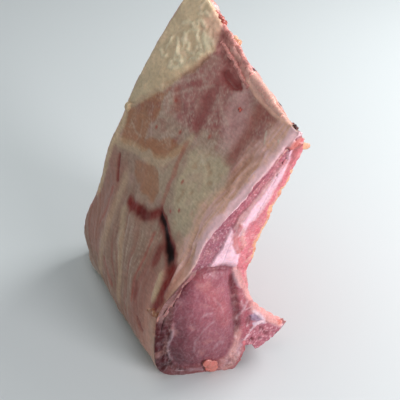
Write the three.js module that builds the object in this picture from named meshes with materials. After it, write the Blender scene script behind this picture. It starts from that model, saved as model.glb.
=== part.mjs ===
// Raw, untrimmed rack of lamb with five ribs, standing on its backbone edge.
// Millimetres, +Z up. X runs from the fat side to the rib-cage side, Y along the
// backbone from the loin cut to the shoulder cut. The origin is on the floor, in
// the middle of the flat strip that the rack rests on.
import * as THREE from "three";
import { mergeVertices } from "three/addons/utils/BufferGeometryUtils.js";

// Driving dimensions
const LENGTH = 130; // along the backbone, loin cut to shoulder cut
const GAP = 0.5; // between neighbouring pieces
const RIB_COUNT = 5;
const RIB_PITCH = 28;
const FIRST_RIB = 9; // first rib's middle, behind the loin cut
const RIB_WIDTH = 13;
const RIB_CROWN = 2.6; // a rib's height above the meat between the ribs
const RIB_BED_SHARE = 0.55; // how much of the rib layer's depth a rib lies in
const RIB_STUB = 0.6; // sawn bone standing above the cut meat
const VERTEBRA_LENGTH = 26.6;
const VERTEBRA_EDGE = 2.2; // rounding of a vertebra's two ends
const VERTEBRA_SLIM = 0.14; // how much slimmer a vertebra is in its middle
const LOIN_BONE = 2; // bone standing out of the loin cut
// Bone point at the loin cut: how far it is drawn out, at which height, over which
// half height and length, and from how far out of the vertebra's root
const PROCESS = { reach: 9, height: 17, half: 12, length: 13, from: 6, to: 18 };

// How finely the pieces are cut
const CELLS_ALONG = 16; // cells of a layer along the backbone
const VERTEBRA_SIDES = 18;
const VERTEBRA_STEPS = 3;

// The cuts and the swellings of the meat
const CUT_SLANT = { fat: 1, bone: 8, from: -20, to: 22, height: 60 }; // loin cut's foot, ahead of its top
const EYE_BULGE = 3.5; // how far the eye muscle swells out of a cut
const EYE_CROWN = 3; // how far it swells up under the seam of fat
const EDGE_SWELL = 1.5; // extra depth of the sawn edge, half way along
const EDGE_ROLL = { from: 14, to: 62, height: 2.6 }; // cap meat swelling over the sawn edge
const FLAP_EASE = 2.2; // the flap keeps its height near the loin, then rises
const BELLY = { depth: 4, row: 4.5, half: 3.5, ease: 1.3 }; // swelling of the back, past half way
const BACK_MUSCLE_DEPTH = 6.5;
const CAP_SHARE = { waist: 0.62, edge: 0.62 }; // cap muscle's part of the space up to the ribs
// Thick fat of the shoulder corner: its lift, the height and slope of its foot, how wide
// its foot is, and the shares of the length where it rises
const PAD = { lift: 2.4, foot: 112, slope: 0.28, edge: 9, from: 0.3, to: 0.75 };
// Low waves of the fat: height, wave length over 2 pi, turn with each row, and start
const FAT_WAVES = [
  { height: 0.7, length: 13, turn: 1.1, start: 0 },
  { height: 0.5, length: 7.5, turn: -1.9, start: 2 },
];
const FLAT_ROWS = { floor: 3.5, rise: 5.5, edge: 1.5 }; // rows without waves: the foot and the sawn edge

// The fat side, from the lip beside the backbone, round the back, up to the sawn
// rib edge. Each row is a station: x and z at the loin cut, x and z at the
// shoulder cut, and the depth of the fat.
const FAT_SIDE = [
  [20, 3, 18, 3, 3],
  [13, 0, 10, 0, 3.4],
  [-8, 0, -14, 0, 3.6],
  [-20, 1.5, -26, 1, 3.8],
  [-30, 9, -34, 7, 4],
  [-33.5, 22, -37, 18, 4],
  [-31.5, 40, -33.5, 34, 4.2],
  [-26, 59, -25.5, 50, 5],
  [-16, 73, -19.5, 69, 5.2],
  [-7, 84, -13, 86, 3.6],
  [1, 103, -3, 104, 2.8],
  [18, 119, 10.5, 131, 2.6],
  [35, 138, 28, 160, 2.6],
  [51, 158, 46.5, 188, 2.2],
];

// The rib-cage side, from the foot of the backbone up to the sawn rib edge. The
// last number of a row is the depth of the rib layer.
const RIB_SIDE = [
  [23, 8, 21, 8, 2],
  [23.6, 28, 21.6, 28, 2],
  [25.5, 46, 23.5, 46, 3.8],
  [24, 60, 21.5, 61, 4.4],
  [23.2, 72, 19, 76, 4.6],
  [25.5, 87, 20.5, 93, 5],
  [33, 105, 27, 118, 5],
  [41, 123, 36, 145, 5],
  [49, 138, 44.5, 163, 4.6],
  [54.5, 150.5, 52, 178, 3.2],
];

// One half of a split vertebra, cut across: x and z at the loin cut.
const VERTEBRA = [
  [24.6, 9],
  [29, 2],
  [33.5, 0],
  [38, 0],
  [43.5, 6],
  [44, 13],
  [41, 20],
  [37, 29],
  [32.5, 37],
  [28, 43],
  [25.8, 36],
];
const VERTEBRA_DRIFT = -2; // the backbone's sideways run over the whole length

// Stations where the layers meet: rows of FAT_SIDE and of RIB_SIDE
const EYE_FOOT = 0.5;
const WAIST = 8.5;
const BACK_MUSCLE_ENDS = [2.5, 7.5];
const WAIST_RIB = 4;
const RIB_FOOT = 2.5;

const lerp = THREE.MathUtils.lerp;
const smooth = THREE.MathUtils.smoothstep;

// A line of the section, blended from the loin cut (v = 0) to the shoulder cut (v = 1),
// with a sideways swelling
function sectionLine(rows, swelling) {
  const last = rows.length - 1;
  const loin = new THREE.SplineCurve(rows.map((r) => new THREE.Vector2(r[0], r[1])));
  const shoulder = new THREE.SplineCurve(rows.map((r) => new THREE.Vector2(r[2], r[3])));
  const at = (row, v) => {
    const t = THREE.MathUtils.clamp(row / last, 0, 1);
    const ease = Math.pow(v, 1 + (FLAP_EASE - 1) * t * t);
    const point = loin.getPoint(t).lerp(shoulder.getPoint(t), ease);
    point.x += swelling(row, v);
    return point;
  };
  const depth = (row) => {
    const low = Math.min(Math.floor(row), last - 1);
    return lerp(rows[low][4], rows[low + 1][4], row - low);
  };
  // Unit vector to the right of the line's run
  const side = (row, v) => {
    const step = 0.05;
    const run = at(Math.min(row + step, last), v).sub(at(Math.max(row - step, 0), v)).normalize();
    return new THREE.Vector2(run.y, -run.x);
  };
  return { last, at, depth, side };
}

function bellySwell(row, v) {
  const nearness = Math.max(0, 1 - Math.pow((row - BELLY.row) / BELLY.half, 2));
  return -BELLY.depth * nearness * Math.sin(Math.PI * Math.pow(v, BELLY.ease));
}

const edgeSwell = (row, v) => EDGE_SWELL * Math.sin(Math.PI * v) * Math.pow(row / (RIB_SIDE.length - 1), 2);

const fatLine = sectionLine(FAT_SIDE, bellySwell);
const ribLine = sectionLine(RIB_SIDE, edgeSwell);

// Low swellings of the fat's surface, and the thick pad at the shoulder corner
function fatRelief(row, v) {
  const along = v * LENGTH;
  const place = fatLine.at(row, v);
  let lift = 0;
  for (const wave of FAT_WAVES) {
    lift += wave.height * Math.sin(along / wave.length + row * wave.turn + wave.start);
  }
  const padLine = PAD.foot + PAD.slope * (LENGTH - along);
  const padRise = smooth(place.y, padLine - PAD.edge, padLine + PAD.edge);
  lift += PAD.lift * padRise * smooth(v, PAD.from, PAD.to);
  const foot = smooth(row, FLAT_ROWS.floor, FLAT_ROWS.rise);
  return lift * foot * smooth(fatLine.last - row, 0, FLAT_ROWS.edge);
}

// Points between the layers. Each takes a station and the share v of the length.
const skin = (row, v) => fatLine.at(row, v).addScaledVector(fatLine.side(row, v), -fatRelief(row, v));
const underFat = (row, v) => fatLine.at(row, v).addScaledVector(fatLine.side(row, v), fatLine.depth(row));
const underBackMuscle = (row, v) => {
  const [low, high] = BACK_MUSCLE_ENDS;
  const share = THREE.MathUtils.clamp((row - low) / (high - low), 0, 1);
  const deep = fatLine.depth(row) + BACK_MUSCLE_DEPTH * Math.sin(Math.PI * share);
  return fatLine.at(row, v).addScaledVector(fatLine.side(row, v), deep);
};
const ribFace = (row, v, height) => ribLine.at(row, v).addScaledVector(ribLine.side(row, v), height);
const underRibMeat = (row, v) => ribFace(row, v, -ribLine.depth(row));

// How far along Y a point of the section lies, with the loin cut's slant
function alongSpine(point, v) {
  const ahead = lerp(CUT_SLANT.fat, CUT_SLANT.bone, smooth(point.x, CUT_SLANT.from, CUT_SLANT.to));
  const slant = ahead * Math.max(0, 1 - point.y / CUT_SLANT.height);
  return lerp(-LENGTH / 2 - slant, LENGTH / 2, v);
}

// A solid between two faces, as a box of cells bent into place. place(across, v, up)
// gives a point of the section; bulge pushes the two cuts outward.
function layer(name, material, cells, place, stations = null, bulge = () => 0) {
  const along = stations ? stations.length - 1 : cells.along;
  const box = new THREE.BoxGeometry(1, 1, 1, cells.across, along, cells.up);
  box.translate(0.5, 0.5, 0.5);
  box.deleteAttribute("normal");
  box.deleteAttribute("uv");
  const geometry = mergeVertices(box);
  const spots = geometry.attributes.position;
  for (let n = 0; n < spots.count; n++) {
    const across = spots.getX(n);
    const up = spots.getZ(n);
    const v = stations ? stations[Math.round(spots.getY(n) * along)] : spots.getY(n);
    const point = place(across, v, up);
    const push = v === 0 ? -bulge(across, up) : v === 1 ? bulge(across, up) : 0;
    spots.setXYZ(n, point.x, alongSpine(point, v) + push, Math.max(point.y, 0));
  }
  geometry.computeVertexNormals();
  const mesh = new THREE.Mesh(geometry, material);
  mesh.name = name;
  return mesh;
}

// Moves a point from a face into its own layer, so that neighbours stay clear
const inset = (point, toward, distance) =>
  point.clone().addScaledVector(toward.clone().sub(point).normalize(), distance);

function between(left, right, across) {
  const from = inset(left, right, GAP / 2);
  const to = inset(right, left, GAP / 2);
  return from.lerp(to, across);
}

const finish = (color, roughness) => new THREE.MeshStandardMaterial({ color, roughness, metalness: 0 });
const fat = finish(0xcbb79c, 0.55);
const meat = finish(0xb0626a, 0.42);
const darkMeat = finish(0x8e3f48, 0.42);
const seamFat = finish(0xe6c6c2, 0.4);
const bone = finish(0xd9b3a6, 0.6);

function fatCap() {
  const cells = { across: 1, along: CELLS_ALONG, up: 26 };
  return layer("fat_cap", fat, cells, (across, v, up) => {
    const row = up * fatLine.last;
    return skin(row, v).lerp(inset(underFat(row, v), skin(row, v), GAP / 2), across);
  });
}

function backMuscle() {
  const cells = { across: 1, along: CELLS_ALONG, up: 8 };
  const [low, high] = BACK_MUSCLE_ENDS;
  return layer("back_muscle", darkMeat, cells, (across, v, up) => {
    const row = lerp(low + 0.5, high - 0.5, up);
    return between(underFat(row, v), underBackMuscle(row, v), across);
  });
}

// Height that the eye muscle's top swells, shared with what lies on it
const crown = (across, nearness) => EYE_CROWN * Math.sin(Math.PI * across) * nearness * nearness;

function eyeMuscle() {
  const cells = { across: 6, along: CELLS_ALONG, up: 16 };
  const swell = (across, up) => EYE_BULGE * Math.sin(Math.PI * across) * Math.sin(Math.PI * up);
  const place = (across, v, up) => {
    const row = lerp(EYE_FOOT, WAIST, up);
    const point = between(underBackMuscle(row, v), underRibMeat(up * WAIST_RIB, v), across);
    point.y += crown(across, up) - (GAP / 2) * up;
    return point;
  };
  return layer("eye_muscle", meat, cells, place, null, swell);
}

// The flap above the eye muscle, from the fat (share 0) to the rib layer (share 1)
function flapPoint(share, v, up) {
  const row = lerp(WAIST, fatLine.last, up);
  const ribRow = lerp(WAIST_RIB, ribLine.last, up);
  const point = between(underFat(row, v), underRibMeat(ribRow, v), share);
  point.y += crown(share, 1 - up) + (GAP / 2) * (1 - up);
  return point;
}

// Unit vector up the flap at the sawn edge
function flapRun(v) {
  const run = fatLine.side(fatLine.last, v);
  return new THREE.Vector2(-run.y, run.x);
}

function edgeRoll(v) {
  const along = v * LENGTH;
  const middle = (EDGE_ROLL.from + EDGE_ROLL.to) / 2;
  const reach = (EDGE_ROLL.to - EDGE_ROLL.from) / 2;
  const share = 1 - Math.pow((along - middle) / reach, 2);
  return EDGE_ROLL.height * Math.sqrt(Math.max(0, share));
}

function capMuscle() {
  const cells = { across: 4, along: CELLS_ALONG, up: 9 };
  return layer("cap_muscle", meat, cells, (across, v, up) => {
    const share = lerp(CAP_SHARE.waist, CAP_SHARE.edge, up) - 0.02;
    const point = flapPoint(across * share, v, up);
    const roll = edgeRoll(v) * smooth(up, 0.85, 1) * Math.sin(Math.PI * across);
    return point.addScaledVector(flapRun(v), roll);
  });
}

function seam() {
  const cells = { across: 2, along: CELLS_ALONG, up: 9 };
  return layer("fat_seam", seamFat, cells, (across, v, up) => {
    const share = lerp(CAP_SHARE.waist, CAP_SHARE.edge, up) + 0.02;
    return flapPoint(lerp(share, 1, across), v, up);
  });
}

// Cross-section of the ribs along the spine: 0 at a rib's side, 1 at its middle
const ribMiddle = (n) => FIRST_RIB + n * RIB_PITCH;
const RIB_CUTS = [-1, -0.55, 0, 0.55, 1];
const ribArch = (across) => Math.sqrt(Math.max(0, 1 - across * across));

// Shares of the length where the rib layer is cut into cells, four to a rib
function ribStations() {
  const stations = [0];
  for (let n = 0; n < RIB_COUNT; n++) {
    for (const cut of RIB_CUTS) stations.push((ribMiddle(n) + (cut * RIB_WIDTH) / 2) / LENGTH);
    const open = RIB_PITCH - RIB_WIDTH;
    const side = ribMiddle(n) + RIB_WIDTH / 2;
    if (n < RIB_COUNT - 1) stations.push((side + open / 3) / LENGTH, (side + (2 * open) / 3) / LENGTH);
  }
  stations.push(1);
  return stations;
}

// How deep the bed of a rib is at a place along the spine
function ribBed(row, v) {
  let arch = 0;
  for (let n = 0; n < RIB_COUNT; n++) {
    arch = Math.max(arch, ribArch(((v * LENGTH - ribMiddle(n)) * 2) / RIB_WIDTH));
  }
  return arch * RIB_BED_SHARE * ribLine.depth(row) * smooth(row, RIB_FOOT - 0.3, RIB_FOOT);
}

function ribMeat() {
  const cells = { across: 1, up: 18 };
  const place = (across, v, up) => {
    const row = up * ribLine.last;
    const back = inset(underRibMeat(row, v), ribLine.at(row, v), GAP / 2);
    return back.lerp(ribFace(row, v, -ribBed(row, v)), across);
  };
  return layer("rib_meat", meat, cells, place, ribStations());
}

function rib(n) {
  const cells = { across: 1, up: 13 };
  const stations = RIB_CUTS.map((cut) => (ribMiddle(n) + (cut * RIB_WIDTH) / 2) / LENGTH);
  const place = (across, v, up) => {
    const row = lerp(RIB_FOOT, ribLine.last, up);
    const arch = ribArch(((v * LENGTH - ribMiddle(n)) * 2) / RIB_WIDTH);
    const height = lerp(GAP - ribBed(row, v), GAP + 0.6 + RIB_CROWN * arch, across);
    const point = ribFace(row, v, height);
    return up === 1 ? point.add(new THREE.Vector2(0.5, 0.87).multiplyScalar(RIB_STUB)) : point;
  };
  return layer(`rib_${n + 1}`, bone, cells, place, stations);
}

// Slims a vertebra's middle and, on the first one, draws out the bone point. The
// extrusion runs from the shoulder end to the loin end, its height along y.
function shapeVertebra(geometry, length, root, pointed) {
  const spots = geometry.attributes.position;
  for (let n = 0; n < spots.count; n++) {
    const height = spots.getY(n);
    const behind = length - VERTEBRA_EDGE - spots.getZ(n);
    const slim = 1 - VERTEBRA_SLIM * Math.sin((Math.PI * behind) / length);
    const out = spots.getX(n) - root;
    const level = Math.max(0, 1 - Math.pow((height - PROCESS.height) / PROCESS.half, 2));
    const near = pointed ? 1 - smooth(behind, 0, PROCESS.length) : 0;
    const draw = PROCESS.reach * level * near * smooth(out, PROCESS.from, PROCESS.to);
    spots.setX(n, root + out * slim + draw);
  }
  geometry.computeVertexNormals();
}

function vertebra(n) {
  const from = n === 0 ? -LOIN_BONE : ribMiddle(n) - VERTEBRA_LENGTH / 2;
  const to = Math.min(ribMiddle(n) + VERTEBRA_LENGTH / 2, LENGTH);
  const drift = (VERTEBRA_DRIFT * ribMiddle(n)) / LENGTH;
  const corners = VERTEBRA.map(([x, z]) => new THREE.Vector3(x + drift, z, 0));
  const round = new THREE.CatmullRomCurve3(corners, true).getSpacedPoints(VERTEBRA_SIDES).slice(1);
  const outline = new THREE.Shape(round.map((p) => new THREE.Vector2(p.x, Math.max(p.y, 0))));
  const geometry = new THREE.ExtrudeGeometry(outline, {
    depth: to - from - 2 * VERTEBRA_EDGE,
    steps: VERTEBRA_STEPS,
    bevelThickness: VERTEBRA_EDGE,
    bevelSize: VERTEBRA_EDGE,
    bevelOffset: -VERTEBRA_EDGE,
    bevelSegments: 2,
  });
  shapeVertebra(geometry, to - from, VERTEBRA[0][0] + drift, n === 0);
  const mesh = new THREE.Mesh(geometry, bone);
  mesh.name = `vertebra_${n + 1}`;
  mesh.rotation.x = Math.PI / 2;
  mesh.position.y = to - VERTEBRA_EDGE - LENGTH / 2;
  return mesh;
}

const rack = new THREE.Group();
rack.add(fatCap(), backMuscle(), eyeMuscle(), capMuscle(), seam(), ribMeat());
for (let n = 0; n < RIB_COUNT; n++) rack.add(rib(n), vertebra(n));

export default rack;
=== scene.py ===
"""Models and paints a raw rack of lamb around its solids: fat, muscles, ribs and split backbone."""

import math
from typing import NamedTuple

import bmesh
import bpy
import numpy as np
from bpy.props import FloatProperty, FloatVectorProperty, PointerProperty
from mathutils import Euler, Matrix, Vector


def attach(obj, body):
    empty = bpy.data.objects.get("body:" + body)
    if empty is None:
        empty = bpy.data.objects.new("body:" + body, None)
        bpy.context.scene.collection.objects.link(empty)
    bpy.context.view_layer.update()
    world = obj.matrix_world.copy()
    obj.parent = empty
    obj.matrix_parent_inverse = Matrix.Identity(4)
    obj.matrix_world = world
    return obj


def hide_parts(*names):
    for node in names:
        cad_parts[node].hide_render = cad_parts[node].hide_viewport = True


bl_info = {
    "name": "Rack of lamb",
    "version": (1, 0, 0),
    "blender": (4, 5, 0),
    "location": "View3D > Sidebar > Rack of lamb",
    "description": "Models and paints a raw rack of lamb around its solids",
    "category": "Add Mesh",
}

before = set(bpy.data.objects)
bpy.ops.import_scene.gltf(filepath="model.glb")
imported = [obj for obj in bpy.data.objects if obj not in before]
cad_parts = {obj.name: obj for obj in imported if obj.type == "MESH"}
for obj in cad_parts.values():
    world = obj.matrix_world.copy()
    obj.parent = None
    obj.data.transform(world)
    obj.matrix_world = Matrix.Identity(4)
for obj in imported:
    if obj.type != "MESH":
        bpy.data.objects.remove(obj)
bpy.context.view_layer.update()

# Sizes are in millimetres in this file, and Blender's in metres
MM = 0.001
BODY = "root"
RIBS = [f"rib_{n}" for n in range(1, 6)]
VERTEBRAE = [f"vertebra_{n}" for n in range(1, 6)]


def mesh_points(mesh):
    """The corners of a mesh, in millimetres."""
    points = np.zeros(len(mesh.vertices) * 3)
    mesh.vertices.foreach_get("co", points)
    return points.reshape(-1, 3) / MM


def node_points(node):
    return mesh_points(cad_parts[node].data)


# The loin cut lies as far from the middle as the shoulder cut, and leans at its foot
LOIN_CUT = -node_points("fat_cap")[:, 1].max()


# Noise and masks

NOISE_CELLS = 256
NOISE_SEED = 41
NOISE_GAIN = 1.6
OCTAVE_SEED = 17  # from the seed of one size of noise to that of the next
RIDGE_SLOPE = 2.4  # how fast a ridge falls off
chance = np.random.default_rng(NOISE_SEED)
SLOPES = chance.normal(size=(NOISE_CELLS, 3))
SLOPES /= np.linalg.norm(SLOPES, axis=1)[:, None]
SHUFFLE = chance.permutation(NOISE_CELLS)
# A turn about a slanted axis, so that the noise's cells never line up with the rack
NOISE_TURN = np.array(Matrix.Rotation(0.83, 3, Vector((0.48, 0.62, 0.62))))


def lattice_noise(points, seed):
    """Smooth noise from about -1 to 1, with one swing to a unit."""
    cell = np.floor(points).astype(int)
    part = points - cell
    ease = part**3 * (part * (part * 6 - 15) + 10)
    total = np.zeros(len(points))
    for corner in np.ndindex(2, 2, 2):
        spot = cell + corner
        pick = SHUFFLE[(spot[:, 0] + seed) % NOISE_CELLS]
        pick = SHUFFLE[(pick + spot[:, 1]) % NOISE_CELLS]
        pick = SHUFFLE[(pick + spot[:, 2]) % NOISE_CELLS]
        weight = np.abs(ease - 1 + np.array(corner)).prod(axis=1)
        total += weight * np.einsum("ij,ij->i", SLOPES[pick], part - corner)
    return total * NOISE_GAIN


def fractal(points, size, octaves, seed):
    """Noise in several sizes, the largest given, each next one half as large and strong."""
    total = np.zeros(len(points))
    turned = points / size
    for octave in range(octaves):
        scale = 2.0**octave
        turned = turned @ NOISE_TURN
        total += lattice_noise(turned * scale, seed + OCTAVE_SEED * octave) / scale
    return total


def ridges(points, size, octaves, seed):
    """One along thin winding lines, falling off to zero between them."""
    return np.clip(1 - RIDGE_SLOPE * np.abs(fractal(points, size, octaves, seed)), 0, 1)


def fade(value, low, high):
    """A soft step from zero at low to one at high."""
    share = np.clip((value - low) / (high - low), 0, 1)
    return share * share * (3 - 2 * share)


def line_distance(places, line):
    """Distance of each place to a drawn line, and how far along the line that is."""
    nearest = np.full(len(places), np.inf)
    along = np.zeros(len(places))
    steps = len(line) - 1
    for n in range(steps):
        start, end = np.array(line[n], float), np.array(line[n + 1], float)
        run = end - start
        share = np.clip((places - start) @ run / (run @ run), 0, 1)
        gap = np.linalg.norm(places - start - share[:, None] * run, axis=1)
        closer = gap < nearest
        nearest = np.where(closer, gap, nearest)
        along = np.where(closer, (n + share) / steps, along)
    return nearest, along


def line_mask(places, line, width, soft, taper=0.0):
    """One within half the width of a line, thinner at its ends if it tapers."""
    distance, along = line_distance(places, line)
    slim = 1 - taper * np.abs(2 * along - 1) ** 2
    return fade(distance, slim * width / 2 + soft, slim * width / 2 - 0.01) * fade(slim, 0, 0.2)


def patch_depth(places, outline):
    """How far each place lies inside an outline; less than zero outside."""
    closed = list(outline) + [outline[0]]
    distance, _ = line_distance(places, closed)
    inside = np.zeros(len(places), bool)
    for (ax, ay), (bx, by) in zip(closed, closed[1:]):
        spans = (ay > places[:, 1]) != (by > places[:, 1])
        rise = by - ay if by != ay else 1e-9
        crossing = ax + (places[:, 1] - ay) / rise * (bx - ax)
        inside ^= spans & (places[:, 0] < crossing)
    return np.where(inside, distance, -distance)


def patch_mask(places, outline, soft):
    """One inside an outline, fading across its edge."""
    return fade(patch_depth(places, outline), -soft / 2, soft / 2)


def sway(points, size, octaves, seed):
    """A shift two ways that changes smoothly from place to place."""
    return np.column_stack([fractal(points, size, octaves, seed + n) for n in range(2)])


def stretched(points, run, times):
    """Places drawn together along a direction, so that noise comes out drawn out along it."""
    run = np.array(run, float) / np.linalg.norm(run)
    return points - np.outer(points @ run, run) * (1 - 1 / times)


class Mark(NamedTuple):
    """A drawn line: its points, colour name, full width, soft edge, strength and depth."""

    line: tuple
    color: str
    width: float
    soft: float
    strength: float = 0.8
    depth: float = 0.0
    taper: float = 0.6


class Patch(NamedTuple):
    """A field of another colour: drawn outline, colour name, soft edge, strength and relief."""

    outline: tuple
    color: str
    soft: float
    strength: float
    height: float = 0  # lift of the whole field
    swell: float = 0  # rise from its edge to its middle
    grain: float = 0  # height of its grains, and strength of the painted glints on them
    rough: float = 0.42


SWELL_RUN = 9  # distance from a field's edge at which its swelling is full


# The fat side, drawn on the length of the backbone and the height

PAD_OUTLINE = ((66, 111), (56, 121), (48, 128), (40, 137), (34, 145), (29, 152), (26, 157), (24, 162),
               (28, 167), (31, 172), (33, 178), (40, 200), (80, 200), (80, 108))
PAD_FOOT = ((40, 136), (34, 144), (29, 151), (25, 157))
PAD_FOLD = ((46, 140), (38, 145), (33, 151), (29, 155), (27, 159))
CURL_FIELD = ((52, 143), (40, 141), (32, 151), (27, 158), (27, 164), (36, 176), (44, 186), (56, 180),
              (54, 160))
PEACH_FIELD = ((46, 172), (40, 180), (28, 176), (28, 168), (33, 167), (40, 169))
RIBBONS = (
    ((52, 159), (49, 157), (46, 154), (41, 152), (37, 149)), ((48, 160), (45, 158), (44, 156)),
    ((50, 163), (47, 161), (42, 159), (40, 157)), ((55, 166), (53, 168), (50, 168), (46, 168), (45, 169)),
    ((48, 164), (46, 166), (42, 166), (40, 164)), ((38, 167), (33, 166), (29, 165), (26.5, 164)),
    ((37, 165.6), (33, 164.5), (29, 163), (27.4, 162)), ((36, 164), (32, 163), (28.5, 161)),
    ((40, 164), (37, 162), (33, 161)), ((47, 148), (44, 147), (40, 147), (37, 149), (35, 151)),
    ((45, 148), (44, 150), (40, 150), (37, 152)), ((41, 156), (38, 155.6), (34, 156), (32, 158), (28, 158.4)),
    ((45, 151), (45, 154), (47, 155)), ((59, 150), (54, 149), (51, 149)),
    ((45, 145), (41, 145.6), (37, 147), (35, 149)),
    ((34, 153), (31, 155), (28, 156)), ((49, 169), (47, 171), (43, 171), (40, 170)),
    ((56, 158), (54, 155), (55, 152)), ((36, 159), (34, 160), (31, 160)), ((50, 174), (46, 176), (42, 175)),
)
CREPE_FIELD = ((-6, 119), (-22, 126), (-43, 127), (-55, 117), (-60, 106), (-52, 90), (-30, 88), (-16, 107))
RAW_FIELD = ((38, 174), (27, 167), (24, 162), (16, 160), (8, 157), (-2, 155), (-9, 157), (-12, 161),
             (0, 175), (20, 180), (40, 186))
ROLL_FIELD = ((-7, 161), (-9, 160), (-14, 158.2), (-22, 156.8), (-30, 156.4), (-40, 156.2), (-50, 157),
              (-57, 158), (-58, 172), (-4, 172))
SLIT = ((-21, 83), (-28, 81), (-35, 78), (-43, 76), (-48, 74))
FAT_PATCHES = (
    Patch(((38, 135), (25, 156), (27, 165), (5, 168), (-14, 163), (-55, 160), (-58, 141), (-53, 124),
           (-40, 125), (-30, 136), (-12, 133), (4, 125), (19, 124), (22, 132)), "mauve", 6, 0.9),
    Patch(CREPE_FIELD, "yellow", 6, 0.85),
    Patch(((58, 113), (45, 128), (35, 137), (33, 124), (35, 113), (30, 100), (48, 94), (56, 92), (61, 101)),
          "tan", 2.2, 0.85, -0.3),
    Patch(((29, 108), (8, 117), (-2, 118), (3, 110), (11, 104), (24, 102), (34, 99)), "tan", 1.8, 0.9, -0.3),
    Patch(((33, 91), (18, 99), (7, 99), (-4, 94), (-6, 85), (0, 84), (17, 84), (30, 86)), "tan", 2.5, 0.75,
          -0.2),
    Patch(((60, 86), (40, 84), (26, 60), (20, 26), (64, 26)), "brown", 10, 0.42),
    Patch(((-30, 156), (-48, 156), (-46, 150), (-36, 146), (-30, 150)), "brown", 6, 0.6),
    Patch(((-30, 70), (-46, 66), (-58, 46), (-64, 20), (-44, 12), (-30, 24), (-28, 48)), "brown", 12, 0.6),
    Patch(RAW_FIELD, "raw", 3, 0.8),
    # A pale sheet of fat swelling out at the foot; its paleness is also a painted sheen reflecting the floor
    Patch(((52, 1), (38, -3), (24, 1), (21, 8), (30, 13), (44, 17), (54, 11)), "frost", 6, 0.3, 0, 4.2),
)
FAT_MARKS = (
    Mark(((61, 90), (39, 96), (20, 100), (6, 105), (2, 114), (-1, 122)), "cream", 3.5, 3, 0.4, -0.25, 0.2),
    Mark(((66, 112), (64, 100), (64, 80), (64, 52)), "cream", 5, 4, 0.7, -0.4, 0),
    Mark(((64, 111), (56, 119), (48, 126), (40, 135), (34, 143)), "cream", 2.5, 1.5, 0.6, -0.4, 0.2),
    Mark(((-31, 152), (-32, 145), (-34, 139), (-37, 131)), "brown", 5, 7, 0.7, 0.5),
    Mark(((-12, 152), (-17, 145), (-23, 140), (-26, 134)), "edge", 7, 9, 0.6),
    Mark(((8, 151), (6, 143), (4, 136), (1, 128)), "wine", 4.5, 5, 0.8, 0.6),
    Mark(((9, 156), (4, 154), (-3, 153), (-9, 154.5)), "wound", 1.8, 2.6, 0.95, 1.2),
    Mark(((11, 161), (8, 159), (3, 157), (-3, 156)), "wine", 4.5, 5, 0.75, 0.7),
    Mark(((29, 169), (21, 165), (15, 162)), "wine", 3, 5, 0.5, 0.5),
    Mark(((30, 138), (24, 133), (20, 130)), "brown", 2.2, 2.5, 0.6, 0.4),
    Mark(((0, 119), (-3, 114), (-5, 110), (-10, 105), (-12, 97), (-13, 90), (-15, 85)), "vein", 1.4, 2.6, 0.5,
         0.3, 0.2),
    Mark(((-14, 86), *SLIT, (-51, 72)), "wound", 5.2, 3.4, 0.8, 0.3),
    Mark(((-15, 85), *SLIT, (-50, 72)), "blood", 2, 1.8, 0.97, 0.6, 0.5),
    Mark(((-31, 79.5), (-35, 78), (-41, 76.5), (-47, 74.5)), "blood", 4, 2, 0.97, 0.5, 0.4),
    Mark(((-31, 72), (-34, 68)), "wound", 3, 5, 0.75, 0.3, 0),
    Mark(((19, 73), (13, 73), (3, 76), (-3, 77), (-9, 80), (-12, 83)), "wound", 2.4, 4, 0.95, 0.4, 0.3),
    Mark(((3, 76), (-3, 77), (-6, 78)), "blood", 1.5, 4.5, 0.3, 0.3, 0.3),
    Mark(((51, 86), (49, 80), (46, 76), (42, 72)), "wound", 1.2, 1.6, 0.75, 0.6),
    Mark(((-19, 75), (-22, 70), (-24, 64), (-25, 58), (-25, 51), (-27, 46), (-31, 38)), "vein", 0.9, 1.8, 0.6,
         0.5, 0.2),
    Mark(((43, 66), (40, 56), (39, 49), (40, 44)), "vein", 1, 2, 0.5, 0.3),
    Mark(((16, 34), (8, 30), (-1, 25)), "vein", 1.2, 2, 0.5, 0.3),
    Mark(((-29, 48), (-31, 45), (-33, 42)), "wound", 2.5, 3, 0.5, 0.2),
    Mark(((-17, 87), (-24, 85), (-32, 82.5), (-40, 80), (-47, 78)), "wound", 1, 2.4, 0.6),
    Mark(((-50, 73), (-54, 69), (-56, 62), (-57, 55), (-56, 49)), "brown", 6, 5, 0.7, 0.4),
    Mark(((-51, 73), (-55, 68), (-57, 61), (-57, 54)), "wound", 4.4, 4, 1.0, 1.2),
    Mark(((-62, 62), (-64, 55), (-64, 48), (-64, 40)), "brown", 2.2, 2.5, 0.7, 1.2),
    Mark(((-58, 92), (-61, 80), (-63, 71), (-64, 61)), "tan", 1.4, 2.2, 0.6, 0.6),
    Mark(((-54, 88), (-57, 81), (-60, 73), (-62, 65)), "brown", 1.2, 2, 0.55, 0.6),
    Mark(((-42, 33), (-49, 30)), "wound", 2, 2, 0.6, 0.7),
    Mark(((-47, 67), (-50, 61), (-52, 55)), "cream", 3, 2.5, 0.7, -0.4),
    Mark(((66, 7), (30, 5), (-10, 5), (-50, 5)), "cream", 2.5, 4, 0.5, -0.2, 0),
    Mark(((20, 66), (6, 56), (-6, 40), (-12, 24)), "cream", 2, 5, 0.4, -0.2),
    Mark(((36, 78), (30, 60), (24, 40), (20, 20)), "cream", 3, 6, 0.35, -0.2),
)
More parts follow.
